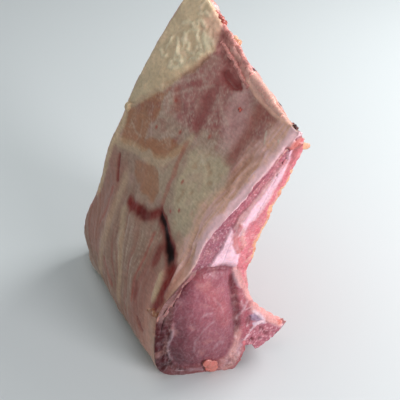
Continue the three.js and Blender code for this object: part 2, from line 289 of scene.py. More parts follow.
RIM_LINES = (
    Mark(((-9, 159.5), (-14, 157.8), (-22, 156.4), (-30, 156), (-40, 155.8), (-50, 156.6), (-56, 157.6)),
         "rim", 0.3, 1.1, 0.8, -0.5, 0.2),
    Mark(((-46, 148.5), (-48, 146.6), (-50.5, 144.6)), "frost", 0.3, 0.9, 0.9, -0.5),
    Mark(((-57.6, 150.4), (-58.6, 150)), "frost", 0.5, 0.8, 0.9, -0.5, 0),
    Mark(((-53, 145.4), (-54, 145)), "crumb", 0.4, 0.8, 0.8, -0.4, 0),
    Mark(((-55, 140), (-51, 136), (-49, 131.6), (-48.6, 127.6), (-49.6, 123.7), (-52, 119.7)), "tan", 1.6, 3,
         0.5, 0.4),
    Mark(((-57, 136), (-55.4, 132), (-55.4, 128.4), (-56, 124.4)), "tan", 1, 2, 0.45, 0.4),
    # Painted highlights on the wrinkles of the rim strip, in the lip colour
    Mark(((-59.6, 136.4), (-59.1, 133.5), (-59.2, 130.4)), "lip", 0.4, 1, 0.9, -0.4),
    Mark(((-62, 125.4), (-62.2, 122.9), (-61.5, 120.9), (-59.8, 118.4)), "lip", 0.4, 1, 0.8, -0.4),
    Mark(((-56, 143.2), (-57.2, 140.5)), "lip", 0.6, 1.4, 0.7, -0.4),
    Mark(((36, 116), (28, 108)), "frost", 0.4, 1, 0.3),
    Mark(((56, 106), (46, 103), (38, 104)), "frost", 0.4, 1, 0.3),
    Mark(((44, 112), (40, 104), (42, 96)), "frost", 0.3, 1, 0.25),
    Mark(((34, 140), (26, 146), (18, 151)), "frost", 0.6, 1.8, 0.22, -0.1),
    Mark(((30, 135), (22, 141), (14, 145), (9, 149)), "frost", 0.5, 1.6, 0.22, -0.1),
    Mark(((2, 146), (-8, 141), (-18, 138)), "frost", 0.5, 1.8, 0.22, -0.1),
)
RED_DOTS = ((26, 133), (29, 115), (-20, 108), (62, 50), (-24, 92), (-31, 97), (10, 121), (-12, 129))

# The loin cut, drawn across the rack and in height

# Lines between the layers of the flap, from its neck to its tip
LIP_LINE = ((10.3, 110.5), (14.6, 114.6), (18.8, 118), (22.8, 121.6), (26.2, 127.4), (29.8, 133.2),
            (33.6, 138.9), (40.5, 143.4), (43.8, 147), (45.3, 151))
CAP_LINE = ((15.7, 105), (19.1, 110.5), (24.2, 116), (28.1, 120.3), (33, 125.4), (37.2, 130.8),
            (41.9, 136.2), (45.8, 141.6), (47, 146.2))
BAND_LINE = ((17, 102), (21.4, 105), (23.4, 108), (27.1, 114.6), (31.1, 119.4), (35.2, 124.8), (38.6, 130.4),
             (43.2, 135.8), (46.8, 141.4), (46.6, 145.9))
SEAM_LINE = ((24.7, 104), (27.6, 107), (32, 112.2), (36, 118), (39, 124), (43.1, 129.5), (45.7, 135.4),
             (47.7, 141.5))
LOIN_PATCHES = (
    Patch(((-42, -5), (-36, 16), (-24, 12), (10, 12), (24, 16), (30, -5)), "under", 4, 0.9, 0, 0, 0.3, 0.36),
    # The rim left of the eye muscle in the dull colour: painted shade on the grey pink fat there
    Patch(((-32, 44), (-28, 66), (-19, 80), (-6, 94), (0, 84), (-8, 77), (-14, 71), (-18, 61), (-20, 51),
           (-22, 44)), "dull", 5, 0.9, 0.2),
    Patch(((-38, 54), (-25, 47), (-21, 40), (-21, 34), (-24, 28), (-24, 22), (-22, 13), (-30, 6), (-42, 14)),
          "back", 4, 1, -0.2, 0.8, 0, 0.5),
    Patch(((-8, 77), (-3, 80), (4, 79), (11, 79), (16, 76), (16, 68), (15, 60), (15, 49), (16, 39), (15, 30),
           (13, 23), (11, 16), (4, 10), (-8, 8), (-18, 9), (-22, 15), (-24, 22), (-24, 28), (-21, 34),
           (-21, 40), (-20, 51), (-18, 61), (-14, 71)), "eye", 2.0, 0.95, -0.6, 2.2, 0.1, 0.4),
    Patch(((2, 100), *LIP_LINE, (40, 156), (30, 146), (18, 130), (4, 112)), "lip", 1.2, 0.9, 0.2, 0, 0, 0.27),
    Patch(((-12, 78), (-6, 85), (-4.6, 91), (3, 102), *LIP_LINE, (46.6, 149.6), *reversed(CAP_LINE), (8, 89),
           (2, 80), (-3, 81)), "cap", 1.2, 0.95, -1.2, 1.0, 0.5, 0.17),
    Patch(((10, 106), (18, 116), (24, 122), (32, 134), (44, 147), (48, 146), (38, 130), (28, 116), (20, 106)),
          "rib_red", 5, 0.4, 0, 0, 0, 0.2),
    Patch((*CAP_LINE, *reversed(BAND_LINE)), "band", 1.8, 0.9, -0.3, 0, 0.1, 0.3),
    Patch(((2, 80), (8, 89), (15, 104), (17, 98), (19, 88), (21, 85), (20, 78), (18, 76), (11, 78)),
          "seam", 1.4, 1, 0.2, 0.8, 0, 0.36),
    Patch((*BAND_LINE, (48, 145.6), *reversed(SEAM_LINE), (21.2, 101)), "seam", 1.4, 0.95, 0.2, 0.8, 0, 0.34),
    Patch(((22, 98), *SEAM_LINE, (48.4, 146), (50, 150), (60, 154), (62, 140), (52, 122), (44, 104), (38, 86),
           (36, 70), (30, 58), (23, 60), (21, 68), (19, 76), (20, 80), (21, 86), (19, 90), (18, 97)),
          "rib_red", 1.2, 0.9, 0.2, 0, 0.3, 0.26),
    Patch(((50, 150), (60, 154), (62, 140), (52, 122), (46, 126), (49, 137)), "rust", 3, 0.5, 0, 0, 0, 0.24),
    Patch(((45.5, 149.5), (48, 152.5), (53.5, 155), (57, 152), (55, 149.5), (49.5, 147.5)),
          "salmon", 1.4, 0.9, 0.8, 0.6, 0.1, 0.28),
    Patch(((16, 76), (21, 68), (24, 56), (27, 49), (36, 40), (44, 33), (54, 26), (44, 22), (36, 30), (28, 30),
           (24, 24), (16, 22), (16, 49), (16, 62)), "pink", 2, 0.9, 0, 0.6, 0.2, 0.3),
    Patch(((26, 46), (31, 44), (39, 36), (46, 28), (53, 21), (47, 19), (40, 26), (33, 33), (28, 38)), "slope",
          2.4, 0.85, 0.3, 0, 0, 0.3),
    Patch(((24, 25), (30, 27), (38, 26), (46, 20), (54, 14), (46, -5), (24, -5)), "marrow", 2, 0.85, -0.4,
          0, 0.9),
    Patch(((26, 37.5), (30.2, 39.4), (34.6, 34.6), (36.8, 30.2), (31.8, 30.4), (27.2, 32.4)),
          "cartilage", 2.2, 0.85, 0.6, 0.4, 0.1, 0.18),
    Patch(((16, 20), (21, 20), (20, 10), (15, 3), (8, 2), (9, 9)), "membrane", 3, 0.35, 0, 0, 0.6, 0.2),
    # A sunken dark patch below the eye muscle: dark red tissue and painted shade
    Patch(((12, 12), (16, 11), (15, 7), (11, 6)), "crease", 3, 0.5, -0.4),
)
# The crease colour in these marks paints dark red tissue together with painted shade: it darkens the grooves
# round the eye muscle, the hollows at the tip and the holes in the bone
LOIN_MARKS = (
    Mark(((17, 75), (11, 78), (4, 78.5), (-3, 79), (-8, 76), (-12, 71), (-15, 65)),
         "crease", 0.6, 4, 0.6, 0.6, 0.3),
    Mark(((15.6, 69), (15.8, 65), (16.4, 58), (17, 50), (17.6, 42), (17.8, 34), (17.4, 26)), "crease", 1.4, 3,
         1.1, 0.7, 0.5),
    Mark(((-13, 75), (-17, 66), (-20, 56), (-22, 48)), "crease", 0.8, 4, 0.7, 0.15),
    Mark(((-24, 46), (-27, 40), (-29, 30), (-27, 18)), "crease", 1, 4, 0.6, 0.2),
    Mark(((-10, 22), (-9, 30), (-6, 36), (-3, 39), (3, 44)), "membrane", 0.2, 1.1, 0.22),
    Mark(((-4, 48), (-1, 50), (2, 49)), "membrane", 0.3, 1.2, 0.25),
    Mark(((3, 60), (7, 54), (9, 47)), "membrane", 0.2, 1.2, 0.2),
    Mark(((2, 22), (5, 27), (9, 24)), "membrane", 0.3, 1.4, 0.22),
    # A faint salmon streak down the right of the eye muscle: salmon tint and painted highlight
    Mark(((-4, 74), (2, 64), (7, 50), (10, 40)), "salmon", 3, 6, 0.16),
    Mark(((-21, 40), (-21.5, 34), (-24, 28), (-24, 22), (-22, 15)), "membrane", 0.7, 1.2, 0.6, -0.4),
    Mark(((-19, 6), (-11, 4), (-4, 3)), "membrane", 0.8, 1.6, 0.5, -0.3),
    Mark(((20, 104), (17, 99), (17, 94), (19, 87), (21, 89)), "rust", 2.4, 1.4, 0.8, -0.7, 0.2),
    Mark(((22, 102), (21, 96), (23, 90)), "pale", 1.4, 1.6, 0.7, -0.6),
    Mark(((46.2, 149), (46.6, 152.5), (49.5, 155.4)), "crease", 0.6, 1.8, 0.35, 0, 0.3),
    Mark(((42, 149.5), (45, 154.5), (49.5, 157.5), (53.5, 156.8)), "lip", 1.8, 1.6, 0.8, -0.5, 0.3),
    Mark(((49, 144), (51, 148), (54, 150.5)), "crease", 0.6, 1.8, 0.55, 0.2),
    Mark(((46.4, 134), (48.4, 139), (49.8, 144)), "crease", 0.6, 1.6, 0.3),
    Mark(((17.2, 73), (18.4, 65.5), (21, 59.5)), "membrane", 0.7, 1.8, 0.55, -0.4),
    Mark(((18, 74), (20.5, 66), (25.6, 52.5), (30.5, 43), (39.5, 34)), "slope", 1.4, 2.2, 0.75, -0.3, 0.2),
    Mark(((25, 48), (22, 44), (18, 37)), "membrane", 0.4, 1.2, 0.35, -0.2),
    Mark(((21, 50), (23, 43), (28, 43)), "membrane", 0.4, 1.2, 0.3, -0.2),
    Mark(((23, 20.6), (26.8, 23.4), (30.6, 27), (34.5, 28.9)), "membrane", 0.8, 1.6, 0.75, -0.4),
    # White over the cartilage: white skin and a painted highlight of its wet gloss
    Mark(((28.8, 40.2), (31.5, 37.6), (34.3, 33.2), (36.5, 29)), "membrane", 0.9, 1.4, 0.9, -0.5),
    Mark(((25.3, 35), (25.5, 31.6)), "crease", 1.4, 2, 0.6, 0.8, 0),
    Mark(((18.9, 26.5), (17.7, 21.8), (15.3, 15.9), (13.4, 10.6)), "slope", 2.2, 2.6, 0.7, -0.5),
    # A painted highlight along the left of the rib strip, in the lip colour
    Mark(((27.5, 106.5), (31, 110.5), (34.5, 115), (37.5, 120.5), (40.3, 126)), "lip", 0.6, 1.3, 0.6, -0.3),
    Mark(((12, 12), (8, 8), (7, 2)), "slope", 1.6, 2.4, 0.5, -0.3),
    Mark(((17, 9), (13, 4), (10, 1)), "pale", 2.4, 2.6, 0.6, -0.4),
    Mark(((46.6, 27.6), (47.4, 22)), "salmon", 1, 1.8, 0.9, 0, 0),
    Mark(((28, 26.6), (28.2, 26)), "crease", 1, 1.3, 0.9, 1, 0),
    Mark(((28.4, 15.4), (28.6, 14.6)), "crease", 1.2, 1.4, 0.9, 1.2, 0),
    Mark(((33.6, 14), (34, 13.6)), "crease", 0.8, 1.4, 0.8, 0.8, 0),
    Mark(((34.6, 22.6), (35, 21.4)), "crease", 1, 1.4, 0.7, 0.8, 0),
    Mark(((37.4, 17.4), (38, 15.8)), "crease", 1, 1.4, 0.7, 0.8, 0),
)

# The shoulder cut, which the photo doesn't show, drawn the same way
SHOULDER_PATCHES = (
    Patch(((-40, -5), (-34, 9), (-20, 7), (10, 7), (20, 11), (26, -5)), "under", 4, 0.7, 0, 0, 0.3, 0.36),
    Patch(((-36, 4), (-36, 20), (-31, 34), (-25, 46), (-17, 54), (-15, 46), (-18, 36), (-20, 26), (-21, 14),
           (-19, 6)), "back", 3, 0.85, -0.3, 0.8, 0.2),
    Patch(((-10, 75), (0, 77), (10, 75), (15, 66), (17, 50), (17, 34), (14, 18), (4, 9), (-8, 8), (-16, 13),
           (-19, 26), (-17, 38), (-15, 52), (-13, 64)), "eye", 2, 0.95, -0.6, 2, 0.1, 0.4),
    Patch(((-2, 72), (8, 71), (13, 62), (14, 50), (8, 44), (2, 50), (-3, 60)), "pink", 4, 0.5, 0.2, 0.5, 0.1,
          0.34),
    Patch(((-12, 79), (-8, 90), (-2, 103), (6, 117), (15, 133), (27, 152), (40, 173), (47, 184), (43, 172),
           (34, 157), (24, 141), (16, 124), (9, 108), (5, 94), (4, 80), (-4, 80)),
          "cap", 1.4, 0.95, -1, 1, 0.4, 0.24),
    Patch(((5, 80), (6, 93), (11, 108), (17, 123), (25, 140), (35, 157), (44, 172), (49, 181), (46, 170),
           (38, 154), (30, 138), (23, 122), (18, 108), (15, 96), (13, 84), (14, 77)),
          "seam", 1.6, 0.95, 0.2, 0.6, 0, 0.36),
    Patch(((15, 77), (15, 94), (19, 107), (25, 122), (32, 139), (40, 155), (50, 176), (60, 180), (54, 150),
           (40, 125), (30, 100), (27, 80), (24, 60), (24, 4), (18, 4), (18, 40), (17, 60)),
          "rib_red", 1.4, 0.9, 0.2, 0, 0.3, 0.28),
    Patch(((26, 38), (31, 34), (36, 24), (40, 14), (38, 4), (30, 2), (26, 8), (24, 20)),
          "marrow", 4, 0.6, 0, 0, 0.7),
)
# The crease marks paint dark red tissue with painted shade in the grooves round the eye muscle
SHOULDER_MARKS = (
    Mark(((16, 72), (6, 77.5), (-5, 77), (-12, 70)), "crease", 0.8, 3.5, 0.65, 0.7, 0.4),
    Mark(((17.5, 66), (18.5, 52), (18.5, 36), (16, 20)), "crease", 0.8, 4, 0.75, 1.2, 0.5),
    Mark(((-15, 60), (-17, 46), (-20, 34), (-21, 20), (-18, 10)), "membrane", 0.8, 1.6, 0.7, -0.4),
    Mark(((-13, 56), (-6, 50), (2, 50), (8, 43), (13, 44)), "membrane", 0.5, 1.4, 0.4, -0.2),
    Mark(((2, 50), (-2, 40), (-8, 34)), "membrane", 0.3, 1.2, 0.25),
    Mark(((8, 43), (9, 32), (5, 24)), "membrane", 0.3, 1.2, 0.22),
    Mark(((-4, 66), (2, 63), (6, 66)), "membrane", 0.3, 1.2, 0.25),
    Mark(((-10, 22), (-4, 18), (2, 20)), "membrane", 0.3, 1.4, 0.25),
    Mark(((6, 82), (8, 92), (12, 104)), "band", 1.5, 2, 0.6),
    Mark(((22, 58), (22, 40), (21, 22), (21, 8)), "membrane", 0.8, 1.8, 0.6, -0.3),
)


def linear(shown):
    """One channel of a colour on a screen, 0 to 255, as light."""
    share = shown / 255
    return share / 12.92 if share < 0.04045 else ((share + 0.055) / 1.055) ** 2.4


def tint(name, description, *shown):
    light = tuple(linear(channel) for channel in shown)
    return FloatVectorProperty(
        name=name, description=description, default=light, subtype="COLOR", size=3, min=0, max=1
    )


def length(name, description, size):
    return FloatProperty(
        name=name, description=description, default=size * MM, unit="LENGTH", subtype="DISTANCE"
    )


def power(name, description, watts):
    return FloatProperty(name=name, description=description, default=watts, min=0, unit="POWER")


class RackFatLooks(bpy.types.PropertyGroup):
    """Colours and relief of the fat side"""

    base: tint("Fat", "Thin fat over most of the back", 181, 151, 134)
    cream: tint("Cream fat", "Thick fat of the shoulder pad and pale bands", 226, 199, 162)
    ribbon: tint("Ribbons", "Curled ribbons of fat on the shoulder pad", 238, 222, 188)
    yellow: tint("Yellow fat", "Yellowish crepe-like fat beside the loin", 206, 187, 156)
    # Painted shade: the fat is washed with this darker colour towards the foot, where less light falls
    low: tint("Low fat", "Darker fat towards the foot", 165, 132, 116)
    mauve: tint("Mauve", "Meat showing through thin fat", 173, 113, 109)
    wine: tint("Wine", "Deep red meat under the thinnest fat", 150, 78, 76)
    frost: tint("Frost", "Pale threads over the fat", 226, 206, 188)
    tan: tint("Tan", "Bare windows in the fat", 178, 121, 89)
    brown: tint("Brown", "Hollows between the bands of fat", 168, 100, 88)
    raw: tint("Raw strip", "Raw meat beside the sawn edge", 236, 162, 152)
    rim: tint("Rim", "Strip of fat along the loin cut", 250, 196, 172)
    lip: tint("Lip", "Pale glossy edge of the fat at the loin cut", 252, 206, 212)
    # A darker copy of the grey pink band beside the seam: painted shade on the rim at the left of the loin
    # cut
    dull: tint("Dull rim", "Grey pink rim of the fat beside the eye muscle", 160, 112, 108)
    edge: tint("Cut edge", "Freshly cut edge of the fat", 226, 176, 172)
    vein: tint("Vein", "Red lines under the fat", 176, 82, 70)
    wound: tint("Bruise", "Bruises and dark folds", 134, 42, 40)
    blood: tint("Blood", "Dried blood in the slit", 26, 6, 6)
    relief: length("Relief", "Height of the fat's fine unevenness", 0.1)
    curls: length("Curls", "Height of the curled ridges on the shoulder pad", 0.9)


class RackMeatLooks(bpy.types.PropertyGroup):
    """Colours and relief of the cut muscles"""

    eye: tint("Eye muscle", "Dusky pink of the eye muscle", 164, 91, 104)
    cap: tint("Cap muscle", "Purple pink of the cap muscle", 158, 88, 105)
    back: tint("Back muscle", "Dark red lobes beside the fat", 98, 32, 36)
    under: tint("Underside", "Pink meat along the foot", 168, 88, 92)
    rib_red: tint("Rib meat", "Red meat along the cut ribs", 220, 120, 131)
    pale: tint("Pale meat", "Pale fibres in the red meat", 238, 178, 168)
    pink: tint("Pink meat", "Meat between the eye muscle and the backbone", 164, 78, 92)
    rust: tint("Rust", "Red brown tissue in the seam", 188, 92, 86)
    salmon: tint("Salmon", "Salmon tissue at the tips", 214, 110, 98)
    # This colour also serves as painted shade in grooves, hollows and holes
    crease: tint("Crease", "Dark red creases between the muscles", 108, 36, 47)
    membrane: tint("Membrane", "White skin between the muscles", 232, 200, 208)
    roll: tint("Roll", "Smooth pale meat over the sawn edge", 238, 186, 170)
    relief: length("Relief", "Height of the muscle grain", 0.12)


class RackSeamLooks(bpy.types.PropertyGroup):
    """Colours of the seam of fat and the fat crumbs"""

    seam: tint("Seam", "White pink fat between the muscles", 250, 204, 218)
    band: tint("Band", "Grey pink skin beside the seam", 200, 150, 150)
    crumb: tint("Crumbs", "Yellow orange crumbs of fat on the ribs", 238, 178, 142)
    nub: tint("Nub", "Salmon nub of fat under the eye muscle", 192, 117, 107)


class RackBoneLooks(bpy.types.PropertyGroup):
    """Colours of the ribs and the backbone"""

    bone: tint("Rib bone", "Ribs under their skin", 222, 180, 168)
    cartilage: tint("Cartilage", "Bluish white ends of the bones", 160, 138, 166)
    slope: tint("Bone edge", "Pale skin over the edge of the backbone", 236, 170, 164)
    marrow: tint("Marrow", "Red spongy bone of the split backbone", 166, 72, 90)
    sawn: tint("Sawn end", "Dark sawn ends of the ribs", 44, 32, 36)


COLOR_GROUPS = ("rack_fat", "rack_meat", "rack_seam", "rack_bone")


def tone(name):
    """A colour of the rack by its name."""
    for group in COLOR_GROUPS:
        looks = getattr(bpy.context.scene, group)
        if name in looks.__annotations__:
            return np.array(getattr(looks, name))
    raise KeyError(name)


class RackStageLooks(bpy.types.PropertyGroup):
    """Floor and light"""

    floor: tint("Floor", "Plain pale floor", 214, 220, 221)
    key: power("Key light", "Power of the large light", 3.25)
    fill: power("Fill light", "Power of the light on the cut", 11)
    top: power("Top light", "Power of the light above", 1.5)
    sky: FloatProperty(name="Sky", description="Strength of the light from all round", default=0.3, min=0)


# The meshes

MERGE = 1e-5
SHARP_EDGE = math.radians(38)
EDGE_CREASE = 1.0
ROUNDING = 2  # rounds of subdivision of a layer
SPLITS = 6  # most times that a face which shows is halved
BONE_VOXEL = 0.7
BONE_SOFTENING = 6


def is_diagonal(edge):
    """True for the long edge between two triangles of one cell."""
    if len(edge.link_faces) != 2:
        return False
    size = edge.calc_length()
    others = [other for face in edge.link_faces for other in face.edges if other is not edge]
    return all(size > other.calc_length() for other in others)


def merged_copy(node):
    """A solid's faces joined to one closed mesh of four-sided cells."""
    bm = bmesh.new()
    bm.from_mesh(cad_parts[node].data)
    bmesh.ops.remove_doubles(bm, verts=bm.verts[:], dist=MERGE)
    long_edges = [edge for edge in bm.edges if is_diagonal(edge)]
    bmesh.ops.dissolve_edges(bm, edges=long_edges, use_verts=False, use_face_split=False)
    bmesh.ops.recalc_face_normals(bm, faces=bm.faces[:])
    return bm


def new_piece(name, bm):
    """An object at the origin that holds a finished bmesh."""
    mesh = bpy.data.meshes.new(name)
    bm.to_mesh(mesh)
    bm.free()
    piece = bpy.data.objects.new(name, mesh)
    bpy.context.scene.collection.objects.link(piece)
    return piece


def bake_modifiers(piece):
    """Makes the shape that the modifiers give the piece's own mesh."""
    view = bpy.context.evaluated_depsgraph_get()
    mesh = bpy.data.meshes.new_from_object(piece.evaluated_get(view))
    piece.modifiers.clear()
    piece.data = mesh


def refine(bm, shows, size):
    """Splits the faces that show until their edges are no longer than a size."""
    for _ in range(SPLITS):
        bm.normal_update()
        edges = {edge for face in bm.faces if shows(face) for edge in face.edges}
        long_edges = [edge for edge in edges if edge.calc_length() > size * MM]
        if not long_edges:
            return
        bmesh.ops.subdivide_edges(bm, edges=long_edges, cuts=1, use_grid_fill=True)


def rounded_piece(name, node, shows, size):
    """A layer with its cells rounded off, and finer where it shows."""
    bm = merged_copy(node)
    crease = bm.edges.layers.float.new("crease_edge")
    for edge in bm.edges:
        if edge.calc_face_angle(0) > SHARP_EDGE:
            edge[crease] = EDGE_CREASE
    piece = new_piece(name, bm)
    rounding = piece.modifiers.new("rounding", "SUBSURF")
    rounding.levels = ROUNDING
    rounding.render_levels = ROUNDING
    bake_modifiers(piece)
    bm = bmesh.new()
    bm.from_mesh(piece.data)
    refine(bm, shows, size)
    bmesh.ops.triangulate(bm, faces=[face for face in bm.faces if len(face.verts) > 4])
    bm.to_mesh(piece.data)
    bm.free()
    piece.data.set_sharp_from_angle(angle=SHARP_EDGE)
    return piece


def even_skin(piece, voxel, rounds):
    """Gives a piece one closed skin of small even cells, softened over some rounds."""
    skin = piece.modifiers.new("skin", "REMESH")
    skin.mode = "VOXEL"
    skin.voxel_size = voxel * MM
    soften = piece.modifiers.new("soften", "SMOOTH")
    soften.iterations = rounds
    bake_modifiers(piece)


def grown_piece(name, node, grow):
    """A bone with an even skin, a little larger than its solid."""
    bm = merged_copy(node)
    bm.normal_update()
    for vert in bm.verts:
        vert.co += vert.normal * grow * MM
    piece = new_piece(name, bm)
    even_skin(piece, BONE_VOXEL, BONE_SOFTENING)
    return piece


END_FACING = 0.5  # a face that looks this far along the backbone is part of a cut end
RIM_SPREAD = 1.2  # how far a cut face reaches over its neighbours
RIM_SINK = 0.2  # how far its rim dips under them


class Canvas:
    """Colour, relief and gloss, built up over the points of one piece."""

    def __init__(self, piece, color, rough, open_way=0):
        mesh = piece.data
        count = len(mesh.vertices)
        self.points = mesh_points(mesh)
        facing = np.zeros(count * 3)
        mesh.vertex_normals.foreach_get("vector", facing)
        self.facing = facing.reshape(-1, 3)
        self.color = np.tile(np.array(color, float), (count, 1))
        self.height = np.zeros(count)
        self.rough = np.full(count, float(rough))
        self.loin = self.end_mask(mesh, -1)
        self.shoulder = self.end_mask(mesh, 1)
        self.ends = np.maximum(self.loin, self.shoulder)
        straight = np.column_stack([np.zeros(count), self.shoulder - self.loin, np.zeros(count)])
        self.normals = self.facing * (1 - self.ends)[:, None] + straight
        self.spread_rims(open_way)

    def spread_rims(self, open_way):
        """Widens the cut ends over their neighbours and sinks their rims, except on the open side."""
        sideways = self.facing * (1, 0, 1)
        size = np.maximum(np.linalg.norm(sideways, axis=1), 1e-6)
        rim = self.ends * fade(size, 0.2, 0.4) * RIM_SPREAD
        if open_way:
            rim *= fade(sideways[:, 0] / size * open_way, 0.3, 0)
        self.points += sideways * (rim / size)[:, None]
        self.height -= rim / RIM_SPREAD * RIM_SINK

    @property
    def side(self):
        return self.points[:, 1:3]

    @property
    def cut(self):
        return self.points[:, [0, 2]]

    def end_mask(self, mesh, way):
        """One on a cut end: every point of its faces on a layer, and softly by direction on a lump."""
        if "sharp_edge" not in mesh.attributes:
            return fade(self.facing[:, 1] * way, 0.3, 0.65)
        facing = np.zeros(len(mesh.polygons) * 3)
        mesh.polygon_normals.foreach_get("vector", facing)
        sizes = np.zeros(len(mesh.polygons), int)
        mesh.polygons.foreach_get("loop_total", sizes)
        corners = np.zeros(len(mesh.loops), int)
        mesh.loops.foreach_get("vertex_index", corners)
        on_end = np.repeat(facing[1::3] * way > END_FACING, sizes)
        mask = np.zeros(len(mesh.vertices))
        mask[corners[on_end]] = 1
        return mask

    def wash(self, mask, color):
        self.color += (np.array(color) - self.color) * np.clip(mask, 0, 1)[:, None]

    def shade(self, amount):
        self.color *= np.clip(1 + amount, 0.05, 3)[:, None]

    def lift(self, height):
        self.height += height

    def polish(self, mask, rough):
        self.rough += (rough - self.rough) * np.clip(mask, 0, 1)

    def draw_marks(self, places, marks, where=1.0):
        patchy = 0.82 + 0.18 * fade(fractal(self.points, 5, 2, 16), -0.35, 0.2)
        for mark in marks:
            mask = line_mask(places, mark.line, mark.width, mark.soft, mark.taper) * where
            self.lift(-mask * mark.depth)
            if mark.color != "blood":
                mask = mask * patchy
            self.wash(mask * mark.strength, tone(mark.color))

    def draw_patches(self, places, patches, where=1.0):
        grains = fractal(self.points, 1.5, 3, 15)
        # Painted highlights: glints in the lip colour on the grains of each field, as strong as its grains
        # are high
        glints = fade(fractal(self.points, 1.0, 2, 19) + grains * 0.4, 0.1, 0.8)
        for patch in patches:
            depth = patch_depth(places, patch.outline)
            mask = fade(depth, -patch.soft / 2, patch.soft / 2) * where
            self.wash(mask * patch.strength, tone(patch.color))
            self.wash(mask * glints * patch.grain * 0.7, tone("lip"))
            self.lift(mask * (patch.height + patch.grain * grains + patch.swell * fade(depth, 0, SWELL_RUN)))
            self.polish(mask, patch.rough)

    def draw_cuts(self):
        """Paints what the two cut ends show, the same on every piece that they go through."""
        points = self.points
        wander = sway(points, 6, 3, 3) * 0.55
        for patches, marks, end in (
            (LOIN_PATCHES, LOIN_MARKS, self.loin),
            (SHOULDER_PATCHES, SHOULDER_MARKS, self.shoulder),
        ):
            self.draw_patches(self.cut + wander, patches, end)
            self.draw_marks(self.cut + wander, marks, end)
        # Painted shade: the loin cut darker towards its left and its foot, below the flap and left of the
        # backbone
        painted_shade = fade(points[:, 0], 4, -22) * 0.4 + fade(points[:, 2], 62, 16) * 0.32
        self.shade(-self.loin * painted_shade * fade(points[:, 2], 90, 70) * fade(points[:, 0], 26, 14))

    def grain_ends(self):
        """Unevenness of both cut ends, the same on every piece that they go through."""
        points = self.points
        soft = fractal(points, 8, 3, 11)
        fine = fractal(points, 1.4, 3, 12)
        fibres = ridges(points * (1, 1, 0.5), 4, 3, 13) ** 3
        self.wash(self.ends * fade(soft, 0, 0.8) * 0.22, tone("crease"))
        self.wash(self.ends * fade(-soft, 0.1, 0.8) * 0.16, tone("pale"))
        self.wash(self.ends * fibres * 0.1, tone("membrane"))
        self.lift(self.ends * (soft * 0.5 + fine * bpy.context.scene.rack_meat.relief / MM))
        self.shade(self.ends * fine * 0.07)
        self.polish(self.ends * fade(fine, 0.1, 0.5), 0.27)


def finish_piece(piece, canvas, material, nodes=()):
    """Moves the points by their relief, keeps their colour, and hangs the piece on the rack."""
    mesh = piece.data
    points = canvas.points + canvas.normals * canvas.height[:, None]
    points[:, 2] = np.maximum(points[:, 2], 0)
    mesh.vertices.foreach_set("co", (points * MM).ravel())
    color = np.ones((len(points), 4))
    color[:, :3] = np.clip(canvas.color, 0, 1)
    mesh.attributes.new("paint", "FLOAT_COLOR", "POINT").data.foreach_set("color", color.ravel())
    rough = np.clip(canvas.rough, 0.05, 1)
    mesh.attributes.new("gloss", "FLOAT", "POINT").data.foreach_set("value", rough)
    mesh.shade_smooth()
    mesh.materials.clear()
    mesh.materials.append(material)
    mesh.update()
    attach(piece, BODY)
    if nodes:
        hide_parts(*nodes)


# The materials

class Finish(NamedTuple):
    """How a painted surface is finished."""

    grain: float  # size of the fine colour grain
    mottle: float  # how much the grain lightens and darkens
    pore: float  # size of the fine bumps
    bump: float  # height of the fine bumps
    soak: float  # share of the light that goes under the surface
    wet: float  # strength of the wet film
    thread: float = 0.05  # how much fine threads lighten and darken


# Threads run along the backbone and fall a little
THREAD_TURN = (math.radians(-11), 0, 0)
THREAD_LENGTH = 6
THREAD_SIZE = 1.1
NOISE_SPAN = (0.3, 0.7)  # where nearly all values of a noise node lie
DULL_SPAN = (0.3, 0.44)  # gloss from which the threads show, and where they show in full
SHEEN_SPAN = (0.24, 0.5)  # gloss of the wettest and the driest flesh
SHEEN = (0.5, 0.1)  # and how strongly these two reflect
WETNESS = 0.12  # how much the gloss changes from place to place
SOAK_SPREAD = (1, 0.4, 0.25)
SOAK_DEPTH = 1.5
FILM_ROUGH = 0.2


class FleshNodes:
    """Adds nodes to a material, whose inputs are constants or other nodes' outputs."""

    def __init__(self, tree):
        self.tree = tree

    def feed(self, node, inputs):
        for socket, value in inputs.items():
            if isinstance(value, bpy.types.NodeSocket):
                self.tree.links.new(value, node.inputs[socket])
            else:
                node.inputs[socket].default_value = value

    def add(self, kind, inputs, **settings):
        node = self.tree.nodes.new(kind)
        for name, value in settings.items():
            setattr(node, name, value)
        self.feed(node, inputs)
        return node.outputs

    def noise(self, place, size, detail):
        inputs = {"Vector": place, "Scale": 1 / (size * MM), "Detail": detail}
        return self.add("ShaderNodeTexNoise", inputs)["Fac"]

    def spread(self, source, low, high, span=NOISE_SPAN):
        inputs = {"Value": source, "From Min": span[0], "From Max": span[1], "To Min": low, "To Max": high}
        return self.add("ShaderNodeMapRange", inputs)["Result"]


